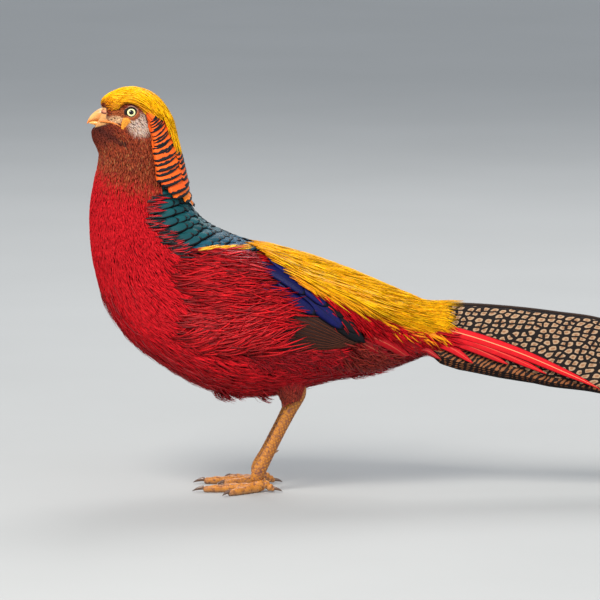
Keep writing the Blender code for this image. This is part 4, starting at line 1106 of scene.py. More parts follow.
def covered(s, d, margin=0.0):
    """Whether a place lies under the crest, cape, mantle or rump."""
    return ((d < along(CREST_EDGE, s) - margin) & (s > 0.6) & (s < 7.0)
            | (d < along(CAPE_FRONT, s) - margin) & (s > 4.5) & (s < 9.6)
            | (d < along(MANTLE_EDGE, s) - margin) & (s > 7.9) & (s < 13.25)
            | (d < along(RUMP_EDGE, s) - margin) & (s > 13.1))


def coat_place(spacing, low, high, seed):
    """Roots for the coat of strands between two stations."""
    def keep(s, d):
        shown = seen(on_body(s, d))
        hidden = within(shown[:, 0], shown[:, 1], WING_FIELD) & (s > 11)
        bare = within(shown[:, 0], shown[:, 1], BILL_FIELD) | (eye_distance(s, d) < EYE_OPENING)
        return ~covered(s, d, 3.0) & ~hidden & ~bare
    return scatter(spacing, low, high, keep, seed)


def build_coat():
    """The scarlet strands of breast, belly and flanks, and the short ones of neck and face."""
    silky = hair_material("scarlet_strands", roughness=0.45, shade=0.34, specular=0.14)
    velvet = hair_material("breast_strands", roughness=0.6, shade=0.82, specular=0.12)
    short = hair_material("short_feathers", roughness=0.6, shade=0.55, specular=0.14)
    fields = (
        ("face_feathers", 0.70, -0.3, 3.3, short, "head_plumage", SHORT),
        ("throat_feathers", 1.05, 3.3, 6.6, short, "neck_plumage", SHORT),
        ("neck_feathers", 1.2, 6.6, 9.4, velvet, "neck_plumage", SHORT),
        ("breast_feathers", 1.6, 9.4, 12.3, velvet, "red_plumage", HAIR),
        ("flank_feathers", 2.25, 12.3, 20.6, silky, "red_plumage", HAIR),
    )
    for k, (name, spacing, low, high, material, word, outline) in enumerate(fields):
        s, degrees = coat_place(spacing, low, high, k + 1)
        rng = np.random.default_rng(20 + k)
        count, d = len(s), np.abs(degrees)
        length = along(COAT_LENGTH, s) * rng.uniform(0.75, 1.3, count)
        width = along(COAT_WIDTH, s) * rng.uniform(0.7, 1.3, count)
        near_eye = 1 - smooth(EYE_OPENING, EYE_OPENING + 5, eye_distance(s, degrees))
        length *= 1 - 0.45 * near_eye
        depth = coat_depth(s, degrees)
        stand = rng.uniform(-0.1, 0.3, count) + rng.uniform(0, 0.7, count) * smooth(9.0, 13.0, s)
        contrast = 0.08 + 0.30 * smooth(10.5, 13.0, s)
        tint = plumage(s, degrees, rng) * (1 + contrast * rng.uniform(-1.2, 0.8, count))[:, None]
        tip = blend(rng.uniform(0, 0.2, count), tint, tint * 1.5 + (0.05, 0.002, 0.002))
        flecked = rng.random(count) < 0.02 + 0.13 * np.sin(s * 9 + d * 0.12) ** 2
        tip = blend(smooth(3.6, 4.4, s) * (s < along(RUST_END, d)) * flecked * 0.45, tip, TAN)
        sway = rng.normal(0, 7, count) + 5 * np.sin(s * 5 + degrees * 0.11)
        feathers(name, s, degrees, length, width, -0.55 * depth, stand, tint, material, turn=sway,
                 bend=rng.normal(0, 9, count), arch=rng.uniform(0, 0.5, count), outline=outline,
                 thick=0.12 + 0.07 * width, tip=tip, slot=word)


def build_wisps():
    """Long loose strands: over the wing's front, under the wing's edge, and on the belly's edge and vent."""
    silky = hair_material("flank_wisps", roughness=0.4, shade=0.42, specular=0.15)
    rng = np.random.default_rng(31)
    for word, side in SIDES:
        count = COUNTS["flank_wisps"]
        z = rng.uniform(114, 206, count)
        x = rng.uniform(-66, 8, count) + 5 * np.sin(z * 0.13)
        s, degrees = place(x, z)
        slope = rng.normal(-15, 8, count) + 24 * smooth(165, 120, z)
        length = rng.uniform(24, 52, count)
        tip_x = x + length * np.cos(np.radians(slope))
        below = z + length * np.sin(np.radians(slope)) < along(GOLD_LINE, tip_x) - 4 - 10 * (tip_x > 20)
        x, z, s, degrees, slope, length = (v[below | (tip_x < 0)] for v in (x, z, s, degrees, slope, length))
        count = len(s)
        turn = turn_for(s, degrees, slope)
        tint = mixed(rng, count, SCARLET, BRIGHT_SCARLET, (0.3, 1.05))
        feathers("flank_wisps_" + word, s, side * degrees, length, rng.uniform(1.1, 2.0, count), 0.0,
                 0.8 + (0.6 + 4.1 * smooth(-58, -8, x)) * rng.uniform(0.7, 1.05, count), tint, silky, turn=turn,
                 bend=rng.normal(-9, 11, count), arch=rng.uniform(0.2, 1.0, count) * (1 + smooth(-40, 0, x)))
        count = COUNTS["under_wing_wisps"]
        x = rng.uniform(-6, 92, count)
        z = 120 - rng.uniform(0, 10, count) - 0.02 * x
        s, degrees = place(x, z)
        slope = rng.normal(-24, 15, count)
        tint = mixed(rng, count, CRIMSON, SCARLET, (0.6, 1.1))
        tint = blend((x > 78) * rng.uniform(0.3, 1, count), tint, VENT_RUST)
        feathers("under_wing_wisps_" + word, s, side * degrees, rng.uniform(12, 26, count),
                 rng.uniform(1.1, 2.0, count), -0.6, rng.uniform(0.4, 2.2, count), tint, silky,
                 turn=turn_for(s, degrees, slope),
                 bend=rng.normal(0, 20, count))
        count = COUNTS["rusty_tufts"]
        x, z = rng.normal(98, 9, count), rng.normal(113, 6, count)
        s, degrees = place(x, z)
        tint = mixed(rng, count, TUFT_RUST, DARK_TUFT)
        feathers("rusty_tufts_" + word, s, side * degrees, rng.uniform(9, 18, count),
                 rng.uniform(0.9, 1.7, count), 0.0, rng.uniform(2.0, 5.5, count), tint, silky,
                 turn=turn_for(s, degrees, rng.normal(-28, 22, count)), bend=rng.normal(0, 22, count),
                 arch=rng.uniform(0, 1.5, count))
    count = COUNTS["belly_tufts"]
    s, degrees = rng.uniform(10.5, 19.5, count), rng.normal(180, 26, count)
    degrees = signed(degrees)
    tint = plumage(s, degrees, rng) * rng.uniform(0.5, 1.0, count)[:, None]
    feathers("belly_tufts", s, degrees, rng.uniform(14, 26, count), rng.uniform(1.2, 2.2, count), -0.8,
             rng.uniform(0.6, 2.6, count), tint, silky, turn=rng.normal(0, 16, count),
             bend=rng.normal(0, 18, count))


def level_belly():
    """The x of the belly line and the stations it has them at."""
    s = np.arange(9.0, 20.0, 0.1)
    return on_body(s, np.full(len(s), 180.0))[:, 0], s


# Tufts that hang from the belly's edge: the middle's x, how far they spread, how many strands, and their drop.
HANGING_TUFTS = ((-27.0, 6.0, 150, 7.5), (-16.0, 3.0, 50, 5.0), (6.0, 3.0, 40, 8.5), (0.0, 26.0, 220, 2.5),
                 (96.0, 14.0, 140, 4.0))


def build_hanging_tufts():
    """Ragged tufts along the belly's edge, which hang clear of it."""
    silky = hair_material("hanging_tufts", roughness=0.5, shade=0.6, specular=0.12)
    rng = np.random.default_rng(37)
    middle, wide, many, drop = np.array(HANGING_TUFTS).T
    pick = np.repeat(np.arange(len(many)), many.astype(int))
    count = len(pick)
    x = middle[pick] + wide[pick] * rng.normal(0, 0.6, count)
    s = np.interp(x, *level_belly())
    degrees = rng.normal(180, 13, count)
    degrees = signed(degrees)
    tint = mixed(rng, count, CRIMSON, SCARLET, (0.8, 1.3))
    feathers("hanging_tufts", s, degrees, rng.uniform(7, 13, count), rng.uniform(1.1, 2.0, count), -1.0,
             drop[pick] * rng.uniform(0.5, 1.1, count), tint, silky, turn=rng.normal(0, 16, count),
             bend=rng.normal(0, 14, count))


# How far each leg stands from the middle plane.
LEG_SPREAD = 23.0
# The thigh's middle line, with its radius at each place.
THIGH_LINE = ((30.0, 0.0, 104.0, 17.0), (33.5, 0.0, 90.0, 13.0), (35.0, 0.0, 77.0, 7.8))
THIGH_LENGTH, THIGH_ROWS, THIGH_RING = 28.0, 24, 24


def build_thighs():
    """The feathered thighs: a core inside the solids' one, and rows of strands that reach lower in front."""
    silky = hair_material("thigh_strands", roughness=0.55, shade=0.5)
    m = Shader("thigh_skin", roughness=0.8)
    speck = m.noise(500.0, 3.0)
    core_material = m.finish(m.mix(speck, (0.06, 0.010, 0.006), (0.18, 0.035, 0.016)))
    rng = np.random.default_rng(41)
    for word, side in SIDES:
        line = along_line(THIGH_LINE, THIGH_ROWS)
        centre = line[:, :3] + (0, -side * LEG_SPREAD, 0)
        core = tube(centre, line[:, 3] - 1.8, THIGH_RING)
        build("thigh_core_" + word, core[None], ring_faces(1, *core.shape[:2]), core_material)
        count = COUNTS["thigh_strands"]
        turn = rng.uniform(0, 2 * np.pi, count)
        behind = 0.5 + 0.5 * np.cos(turn)
        start = rng.uniform(0, 1, count) * (0.88 - 0.22 * behind)
        long = rng.uniform(4.5, 9, count)
        outline = np.array(finer(SHORT, 5))
        share = outline[:, 0]
        fall = start[:, None] + long[:, None] / THIGH_LENGTH * share
        rows = np.linspace(0, 1, THIGH_ROWS)
        centre_at = np.stack([np.interp(fall, rows, centre[:, k]) for k in range(3)], -1)
        past = np.maximum(fall - 1, 0)[..., None] * np.array((1.0, 0.0, -27.0))
        radius = np.interp(fall, rows, line[:, 3]) - 1.3 * (1 - share) + rng.uniform(0, 0.6, count)[:, None] * share
        angle = turn[:, None] + rng.normal(0, 0.3, count)[:, None] * share
        out = np.stack((np.cos(angle), np.sin(angle), 0 * angle), -1)
        sideways = np.stack((-np.sin(angle), np.cos(angle), 0 * angle), -1)
        across, height = np.array(HAIR_RING, float).T
        width = rng.uniform(0.45, 0.8, count)[:, None] * outline[:, 1]
        points = centre_at + past + out * radius[..., None]
        points = (points[:, :, None] + sideways[:, :, None] * (width[..., None] * across)[..., None]
                  + out[:, :, None] * (0.25 * height)[:, None])
        tint = mixed(rng, count, THIGH_RED, DARK_THIGH)
        tint = blend(smooth(0.55, 0.1, start) * rng.uniform(0.5, 1.1, count), tint, SCARLET)
        tint = tint * rng.uniform(0.6, 1.3, count)[:, None]
        roots = np.stack((turn / 6.3, start), -1)
        lay("thigh_strands_" + word, points, roots, tint, outline, HAIR_RING, silky)


# How far the crest's strands keep off the eye's middle.
EYE_CLEARANCE = 7.6


def crest_way(s, degrees, share, length):
    """Where strands of the crest end, the angle they make for, and whether they keep off the eye on the way."""
    end = np.minimum(s + length / 11.5, 6.9)
    middle = np.abs(degrees) < CREST_REAR[0][1]
    edge = along(CREST_EDGE, np.minimum(end, 4.5))
    narrow = np.abs(degrees) * along(CREST_REAR, end) / CREST_REAR[0][1]
    target = np.where(middle, narrow, np.minimum(np.abs(share) * edge, edge))
    target = np.sign(degrees) * target
    part = np.linspace(0, 1, 7)[None]
    at_s = s[:, None] + (end - s)[:, None] * part
    at_a = degrees[:, None] + (target - degrees)[:, None] * part
    clear = (eye_distance(at_s, at_a) > EYE_CLEARANCE).all(1)
    return end, target, clear


def build_crest():
    """Silky golden strands from the forehead over the nape, hanging behind the cape's upper part."""
    silky = hair_material("crest_strands", roughness=0.36, shade=0.84, specular=0.1)
    rng = np.random.default_rng(51)
    count = COUNTS["crest_strands"]
    s = 0.35 + 4.6 * rng.random(count) ** 0.9
    share = rng.uniform(-1, 1, count)
    edge = along(CREST_EDGE, s)
    degrees = share * edge
    length = (7 + 25 * smooth(0.6, 3.2, s)) * rng.uniform(0.7, 1.2, count)
    room = (4.85 + rng.normal(0, 0.12, count) - s) * 12.0
    length = np.where(np.abs(degrees) > CREST_REAR[0][1], np.minimum(length, np.maximum(room, 2.5)), length)
    for limit in (13.0, 7.0, 4.0):
        clear = crest_way(s, degrees, share, length)[2]
        length = np.where(clear, length, np.minimum(length, limit))
    end, target, clear = crest_way(s, degrees, share, length)
    clear &= rng.random(count) > 0.7 * smooth(0.72, 1.0, np.abs(share)) * smooth(3.4, 2.6, s)
    s, share, degrees, length, end, target = (v[clear] for v in (s, share, degrees, length, end, target))
    count = len(s)
    per_degree = length_of(look(BY_ANGLE, s, degrees))
    turn = np.degrees(np.arctan2((np.abs(target) - np.abs(degrees)) * per_degree, length)) + rng.normal(0, 4, count)
    thin = 1 - 0.92 * np.abs(share) ** (2.2 + 1.8 * smooth(2.5, 4.0, s))
    layer = 1 - 0.75 * rng.random(count) ** 2.2
    tint = blend(rng.uniform(0, 1, count) ** 1.5, GOLD, DEEP_GOLD)
    # Painted shade: amber towards the crest's sides, which turn away from the light.
    tint = blend(smooth(0.35, 0.9, np.abs(share)) * rng.uniform(0.0, 1.0, count), tint, AMBER_SHADE)
    # Painted shade: darker brown along the crest's lower edge over the eye.
    brow = smooth(0.55, 0.95, np.abs(share)) * smooth(3.7, 2.9, s) * smooth(0.5, 1.2, s)
    tint = blend(brow * rng.uniform(0.3, 1.0, count), tint, CREST_BROW_SHADE)
    tint = tint * rng.uniform(0.8, 1.08, count)[:, None]
    tip = blend(0.35 * np.ones(count), tint, GOLD)
    feathers("crest_strands", s, degrees, length, rng.uniform(0.8, 1.5, count),
             layer * along(CREST_LIFT, s) * thin * 0.75 - 0.3, layer * along(CREST_LIFT, end) * thin, tint, silky,
             turn=turn, bend=rng.normal(0, 5, count), arch=rng.uniform(0, 0.4, count),
             thick=0.2, tip=tip, slot="gold_plumage", replaces=("crest",))
    count = COUNTS["forehead_tufts"]
    s = rng.uniform(0.1, 1.5, count)
    share = rng.uniform(-1, 1, count)
    tint = mixed(rng, count, DEEP_GOLD, GOLD)
    tint = blend(smooth(0.75, 0.2, s) * rng.uniform(0.3, 1, count), tint, FOREHEAD)
    # Painted shade: amber towards the sides of the forehead tufts.
    tint = blend(smooth(0.55, 1.0, np.abs(share)) * rng.uniform(0.2, 1, count), tint, AMBER_SHADE)
    feathers("forehead_tufts", s, share * along(CREST_EDGE, s), rng.uniform(2.5, 6, count),
             rng.uniform(0.4, 0.75, count), -0.6, rng.uniform(0.2, 1.5, count) * (1 + smooth(0.2, 1.2, s)),
             tint * rng.uniform(0.8, 1.1, count)[:, None], silky, bend=rng.normal(0, 9, count), outline=SHORT,
             thick=0.2, slot="gold_plumage")


# The heights of the cape's black bars at its front edge.
CAPE_BARS = (317.5, 315.4, 312.8, 310.2, 307.5, 305.0, 302.2, 299.4, 296.6, 293.9, 291.0, 287.7, 284.3, 280.6,
             276.8, 272.2, 267.6, 262.4, 257.4, 252.0, 247.0, 242.6, 239.0)
# How far the upper side of a wide plate draws back at its tip.
CAPE_CURL = 6.0


def level_line(angle):
    """Heights and stations down one body line of the neck, for reading the station at a height."""
    s = np.arange(4.0, 11.5, 0.05)
    heights = seen(on_body(s, np.full(len(s), float(angle))))[:, 1]
    return heights[::-1], s[::-1]


def cape_row(bar, k):
    """The plates of one row on one side: the angles of their middles, and how wide they are, in degrees."""
    turns = np.linspace(0, 75, 76)
    stations = np.array([np.interp(bar, *level_line(angle)) for angle in turns])
    front = turns[np.argmax(turns > along(CAPE_FRONT, stations))]
    wide = min(48.0 if k % 2 else 41.0, front + 4)
    angles = [front + 1.0 - wide / 2]
    if front - wide > 4:
        angles.append(8.0)
    return angles, [wide, 30.0][:len(angles)]


def build_cape():
    """Rows of broad, square-ended plates that hang down each side of the neck, each with a black bar at its tip."""
    barred = barred_material()
    rng = np.random.default_rng(61)
    plates = []
    for k, bar in enumerate(CAPE_BARS):
        plates += [(bar, angle, wide, len(CAPE_BARS) - k) for angle, wide in zip(*cape_row(bar, k))]
    bars, angles, wide, order = np.array(plates).T
    for word, side in SIDES:
        heights, at = bars + rng.normal(0, 0.35, len(bars)), angles + rng.normal(0, 0.7, len(bars))
        tip_s = np.array([np.interp(h, *level_line(a)) for h, a in zip(heights, at)])
        by_s = length_of(look(BY_STATION, tip_s, at))
        s = np.maximum(tip_s - (10.5 + 0.08 * np.clip(310 - heights, 0, 60)) / by_s, 3.9)
        length = (tip_s - s) * by_s
        width = wide * length_of(look(BY_ANGLE, tip_s, at))
        high = along(CAPE_LIFT, tip_s) * (0.50 + 0.40 * smooth(66, 30, at)) + 0.04 * order
        high = high + 0.5 * smooth(5.2, 4.2, tip_s)
        tint = blend(rng.uniform(0, 0.5, len(s)), CAPE_ORANGE, LIGHT_CAPE)
        tint = blend(smooth(250, 240, heights) * 0.4, tint, DEEP_GOLD) * rng.uniform(0.85, 1.05, len(s))[:, None]
        feathers(f"cape_plates_{word}", s, side * at, length, width, high - 2.6, high, tint, barred,
                 shown=length / 13.0 * (1 + 0.7 * smooth(282, 308, heights)),
                 turn=rng.normal(0, 1.5, len(s)), curl=CAPE_CURL * np.minimum(width / 12, 1.2),
                 outline=finer(PLATE, 16), ring=WIDE_RING, thick=0.3, camber=0.35, slot="cape_plumage",
                 replaces=("cape_" + word,))
        count = COUNTS["cape_edge"]
        bar = rng.uniform(256, 315, count)
        turns = np.array([np.interp(h, *level_line(50.0)) for h in bar])
        d = along(CAPE_FRONT, turns) - rng.uniform(0, 5, count)
        tint = blend((rng.random(count) < 0.5 + 0.4 * smooth(290, 270, bar)) * 1.0, CAPE_ORANGE, BLACK)
        feathers(f"cape_edge_{word}", turns - 0.3, side * d, rng.uniform(4, 8, count),
                 rng.uniform(0.5, 0.9, count), 0.4, rng.uniform(0.8, 2.4, count), tint,
                 hair_material("cape_edge_" + word), turn=rng.normal(-4, 8, count), thick=0.2, slot="cape_plumage")


def build_mantle():
    """The metallic scales of the upper back: green in front, bluer behind, with black lower edges."""
    metal = scale_material()
    rng = np.random.default_rng(71)
    spots = []
    s, row = 7.9, 0
    while s < 13.4:
        by_a = length_of(look(BY_ANGLE, np.array([s]), np.array([30.0])))[0]
        by_s = length_of(look(BY_STATION, np.array([s]), np.array([30.0])))[0]
        step = 6.6 / by_a
        last = along(MANTLE_EDGE, s)
        angles = np.arange(last - 1.5 - (row % 2) * step / 2, 0, -step)
        spots += [(s, a) for a in angles if a > 1.5]
        s, row = s + 6.8 / by_s, row + 1
    spots = np.array(spots)
    s, angles = spots.T + rng.normal(0, 0.03, spots.T.shape) * ((1.0,), (20.0,))
    for word, side in SIDES:
        count = len(s)
        edge = along(MANTLE_EDGE, s)
        slope = 12 * smooth(0.35, 0.95, angles / edge) - 36 * smooth(0.55, 0.0, angles / edge)
        turn = turn_for(s, angles, slope + rng.normal(0, 3, count))
        blue = smooth(10.2, 12.6, s + 0.4 * (1 - angles / edge))
        tint = blend(blue + rng.normal(0, 0.12, count), TEAL, PEACOCK) * rng.uniform(0.8, 1.2, count)[:, None]
        feathers("mantle_scales_" + word, s, side * angles, rng.uniform(19, 23, count),
                 rng.uniform(8.6, 10.4, count), -1.4, 1.5, tint, metal, turn=turn, outline=finer(SCALE, 10),
                 ring=VANE_RING, thick=0.35, camber=0.8, slot="wing_plumage")
        count = COUNTS["mantle_border"]
        at = rng.uniform(8.1, 11.2, count)
        d = along(MANTLE_EDGE, at) + rng.uniform(-1, 7, count)
        tint = np.where(rng.random(count)[:, None] < 0.5, BLACK, SCARLET)
        feathers("mantle_border_" + word, at, side * d, rng.uniform(9, 17, count),
                 rng.uniform(1.0, 2.0, count), 0.0, rng.uniform(0.8, 2.3, count), tint,
                 hair_material("mantle_border_" + word), turn=turn_for(at, d, rng.normal(2, 7, count)),
                 bend=rng.normal(0, 9, count), thick=0.25, slot="wing_plumage")
        count = COUNTS["golden_border"]
        x = rng.uniform(-46, -6, count)
        at, d = place(x, 204.4 + 0.04 * (x + 42) + rng.normal(0, 0.7, count))
        tint = mixed(rng, count, GOLD, DEEP_GOLD)
        feathers("golden_border_" + word, at, side * d, rng.uniform(9, 15, count),
                 rng.uniform(0.9, 1.4, count), 0.6, rng.uniform(1.8, 2.6, count), tint,
                 hair_material("golden_border_" + word), turn=turn_for(at, d, rng.normal(1, 3, count)), thick=0.25,
                 slot="gold_plumage")


def build_rump():
    """The long silky golden strands of the lower back, and the scarlet ones that hang from their lower edge."""
    silky = hair_material("rump_strands", roughness=0.36, shade=0.66, specular=0.1)
    rng = np.random.default_rng(81)
    count = COUNTS["rump_strands"]
    first = rng.random(count) ** 0.85
    share = rng.uniform(-1, 1, count)
    low = np.abs(share)
    s = 13.3 - 0.35 * smooth(0.1, 0.8, low) * (first < 0.2) + 6.8 * first
    d = low * np.maximum(along(RUMP_EDGE, s), 14.0)
    slope = -17 - 9 * smooth(0.2, 0.8, low) - 18 * smooth(0.75, 1.0, low) * smooth(14.5, 16.0, s)
    slope = slope + rng.normal(0, 2.5, count)
    turn = turn_for(s, np.maximum(d, 6.0), slope) * smooth(0, 18, d)
    length = rng.uniform(20, 40, count) * (1 - 0.25 * smooth(18, 20, s)) * (1 - 0.45 * smooth(0.85, 1.0, low))
    root = seen(on_body(s, d))
    tip_z = root[:, 1] + 0.6 * length * np.sin(np.radians(slope))
    line = along(GOLD_LINE, root[:, 0] + 0.6 * length * np.cos(np.radians(slope)))
    golden = (tip_z > line + rng.normal(1.0, 1.5, count)) | (root[:, 0] < 46)
    layer = rng.uniform(0.35, 1.0, count) * np.where(golden, 1.0, 0.7)
    gold = blend(rng.uniform(0, 1, count) ** 1.6, GOLD, DEEP_GOLD)
    gold = blend(smooth(9, 0, tip_z - line) * rng.uniform(0, 0.7, count), gold, RUDDY_GOLD)
    gold = gold * np.where(rng.random(count) < 0.12, 0.45, rng.uniform(0.8, 1.06, count))[:, None]
    red = mixed(rng, count, SCARLET, BRIGHT_SCARLET, (0.5, 1.1))
    reach = root[:, 0] + length * np.cos(np.radians(slope))
    end = (1 - 0.9 * smooth(128, 172, reach)) * layer
    over_wing = 4.4 * smooth(0.45, 0.9, low) * smooth(13.2, 14.0, s) * smooth(18.0, 17.0, s)
    width = rng.uniform(0.9, 1.7, count) * (1 - 0.35 * smooth(18, 20, s))
    feathers("rump_strands", s, np.sign(share) * d, length, width, end * 1.9 - 0.5 + over_wing,
             end * 3.8 + over_wing, np.where(golden[:, None], gold, red), silky, turn=turn,
             bend=rng.normal(0, 4, count), arch=rng.uniform(0, 0.5, count), thick=0.25, slot="gold_plumage",
             replaces=("rump",))
    for word, side in SIDES:
        count = COUNTS["scarlet_fringe"]
        x = 48 + 112 * rng.random(count) ** 0.8
        z = along(GOLD_LINE, x) + rng.uniform(-7, 6, count)
        s, d = place(x, z)
        slope = rng.normal(-44, 8, count) + 22 * smooth(110, 160, x)
        tint = mixed(rng, count, SCARLET, BRIGHT_SCARLET, (0.4, 1.1))
        golden = (z > along(GOLD_LINE, x) + 3) & (rng.random(count) < 0.5)
        tint = np.where(golden[:, None], mixed(rng, count, DEEP_GOLD, RUDDY_GOLD), tint)
        feathers("scarlet_fringe_" + word, s, side * d, rng.uniform(13, 27, count),
                 rng.uniform(1.0, 1.9, count), 0.4, rng.uniform(2.4, 5.0, count), tint, silky,
                 turn=turn_for(s, d, slope), bend=rng.normal(0, 9, count),
                 arch=rng.uniform(0, 1.0, count), thick=0.25)


def blue_material():
    """The innermost wing feathers: deep blue, black towards their lower edge and tip, with slanting barbs."""
    m = Shader("blue_wing_feathers", roughness=0.42, specular=0.14)
    across, share, _ = m.vane()
    off = m.off(across)
    barbs = m.math("SUBTRACT", m.scaled(share, 300.0), m.scaled(off, 90.0))
    barbs = m.wave(barbs)
    value = m.scaled(barbs, 0.35, 0.68)
    value = m.scaled(value, m.scaled(m.noise(200.0), 0.8, 0.6))
    colour = m.tinted(value)
    edge = m.math("MAXIMUM", m.window(off, 0.40, 0.47), m.window(share, 0.93, 0.97))
    shaft = m.less(m.window(off, 0.008, 0.02))
    colour = m.mix(m.math("MAXIMUM", edge, shaft), colour, (0.003, 0.003, 0.012))
    m.bump(m.math("ADD", barbs, shaft), 0.3, 0.2)
    return m.finish(colour)


PALE_EDGE = 0.08


def edged_material():
    """Flight feathers: brown vanes with a pale outer edge and a dark shaft."""
    m = Shader("flight_feathers", roughness=0.5, specular=0.14)
    across, share, _ = m.vane()
    off = m.off(across)
    barbs = m.math("SINE", m.scaled(m.math("ADD", share, m.scaled(off, 0.06)), 900.0))
    pale = m.window(across, 0.95 - PALE_EDGE, 1 - PALE_EDGE)
    pale = m.scaled(pale, m.scaled(m.noise(150.0), 0.6, 0.6))
    shaft = m.less(m.window(off, 0.015, 0.035))
    pale = m.scaled(pale, m.window(share, 0.05, 0.35))
    speck = m.scaled(barbs, 0.10, 0.9)
    colour = m.tinted(speck)
    colour = m.mix(pale, colour, BUFF)
    colour = m.mix(shaft, colour, (0.012, 0.006, 0.004))
    m.bump(m.math("ADD", barbs, shaft), 0.3, 0.15)
    return m.finish(colour)


# Feathers of the wing from the lowest up: root, tip, width, lift at root and tip, and the way they bow.
FLIGHT = [((30, 119.5 + 4.4 * k), (79 + 1.5 * k, 122.4 + 0.42 * k), 6.6, 0.8 + 0.26 * k, 0.9 + 0.32 * k, 1.2)
          for k in range(10)]
SECONDARIES = [((34, 164), (92, 126.4), 9.0, 3.0, 4.3, 1.2), ((30, 178), (96, 126.4), 12.0, 3.2, 4.5, 1.0),
               ((44, 174), (89, 134.0), 13.0, 3.3, 4.7, 1.2), ((36, 184), (78, 146.0), 13.0, 3.4, 4.8, 1.2)]
TERTIALS = [((24, 176), (77.9, 137.4), 14.0, 3.4, 4.9, 2.0), ((8, 172), (54.4, 149.2), 12.0, 3.6, 5.1, 2.0),
            ((24, 190), (64.0, 155.0), 13.0, 3.7, 5.2, 1.0), ((8, 190), (45.6, 164.7), 10.5, 3.9, 5.4, 1.4),
            ((16, 196), (40.0, 176.0), 9.0, 4.1, 5.4, 0.8)]


def build_wings():
    """The folded wings: brown flight feathers edged in buff, black ones over them, and the broad blue innermost."""
    flight = edged_material()
    dark = dark_material()
    blue = blue_material()
    silky = hair_material("scapular_strands", roughness=0.5, shade=0.5, specular=0.15)
    rng = np.random.default_rng(91)
    for word, side in SIDES:
        sets = (("flight_feathers_", FLIGHT, BROWN, flight, 0.05),
                ("dark_wing_feathers_", SECONDARIES, BLACK, dark, 0.4),
                ("blue_wing_feathers_", TERTIALS, BLUE, blue, 0.5))
        for name, rows, colour, material, camber in sets:
            roots, tips, width, low, high, bow = (np.array(column, float) for column in zip(*rows))
            tint = np.array(colour) * rng.uniform(0.75, 1.25, len(rows))[:, None]
            side_feathers(name + word, side, roots, tips, width, low, high, tint, material, bow=-bow,
                          outline=finer(BROAD, 26), thick=0.25, camber=camber, slot="wing_plumage",
                          replaces=("wing_" + word,) if rows is FLIGHT else ())
        count = COUNTS["shoulder_feathers"]
        x, z = rng.uniform(-8, 26, count), rng.uniform(124, 192, count)
        roots = np.stack((x, z), -1)
        tips = roots + np.stack((rng.uniform(11, 15, count), rng.uniform(-8, -1, count)), -1)
        tint = mixed(rng, count, SHOULDER_BLACK, SHOULDER_RED)
        order = np.argsort(-x)
        side_feathers("shoulder_feathers_" + word, side, roots[order], tips[order], 7.0, 0.6, 2.6, tint, dark,
                      outline=finer(SCALE, 7), camber=0.5, slot="wing_plumage")
        count = COUNTS["scapular_strands"]
        x, z = rng.uniform(-10, 12, count), rng.uniform(188, 205, count)
        keep = z < along(GOLD_LINE, x + 6) - 3
        x, z = x[keep], z[keep]
        count = len(x)
        s, degrees = place(x, z)
        tint = mixed(rng, count, SCAPULAR_DARK, SCAPULAR_RED)
        feathers("scapular_strands_" + word, s, side * degrees, rng.uniform(8, 12, count),
                 rng.uniform(0.8, 1.4, count), 1.0, rng.uniform(2.6, 5.2, count), tint, silky,
                 turn=turn_for(s, degrees, rng.normal(-34, 7, count)),
                 bend=rng.normal(0, 8, count), slot="wing_plumage")


def spotted_material():
    """The middle tail feathers: a black net round buff ovals with brown centres, and a dark ridge."""
    m = Shader("spotted_tail", roughness=0.5, specular=0.08)
    down, x, _ = m.vane()
    down, x = m.scaled(down, 100.0), m.scaled(x, 1000.0)
    drift = m.scaled(m.noise(45.0, 2.0), 6.0, -3.0)
    slant = m.scaled(down, 0.55, x)
    u = m.math("DIVIDE", m.math("ADD", slant, drift), 7.0)
    v = m.math("DIVIDE", m.math("SUBTRACT", down, drift), 5.2)
    where = m.node("CombineXYZ", {0: u, 1: v, 2: 0.0}).outputs[0]
    cell = {"Vector": where, "Scale": 1.0, "Randomness": 0.62}
    flat = {"voronoi_dimensions": "2D"}
    middle = m.node("TexVoronoi", cell, **flat).outputs["Distance"]
    net = m.node("TexVoronoi", cell, feature="DISTANCE_TO_EDGE", **flat).outputs["Distance"]
    ragged = m.scaled(m.noise(700.0, 2.0), 0.10, -0.05)
    spot = m.window(m.math("ADD", net, ragged), 0.155, 0.215)
    spot = m.scaled(spot, m.less(m.window(m.math("ADD", middle, ragged), 0.41, 0.48)))
    centre = m.less(m.window(m.math("ADD", middle, ragged), 0.13, 0.26))
    tip = m.window(x, 700.0, 825.0)
    speck = m.noise(700.0, 2.0)
    buff = m.mix(m.scaled(tip, 0.5, 0.15), OVAL_BUFF, TIP_BUFF)
    brown = m.mix(speck, OVAL_DARK, OVAL_BROWN)
    colour = m.mix(centre, buff, brown)
    colour = m.mix(spot, (0.012, 0.008, 0.007), colour)
    band = m.less(m.window(m.math("ADD", down, drift), 3.2, 4.4))
    colour = m.mix(band, colour, (0.010, 0.007, 0.007))
    barbs = m.wave(m.scaled(m.scaled(down, -0.9, x), 6.0))
    value = m.scaled(barbs, 0.18, 0.84)
    m.bump(barbs, 0.3, 0.15)
    return m.finish(m.shaded(colour, value))


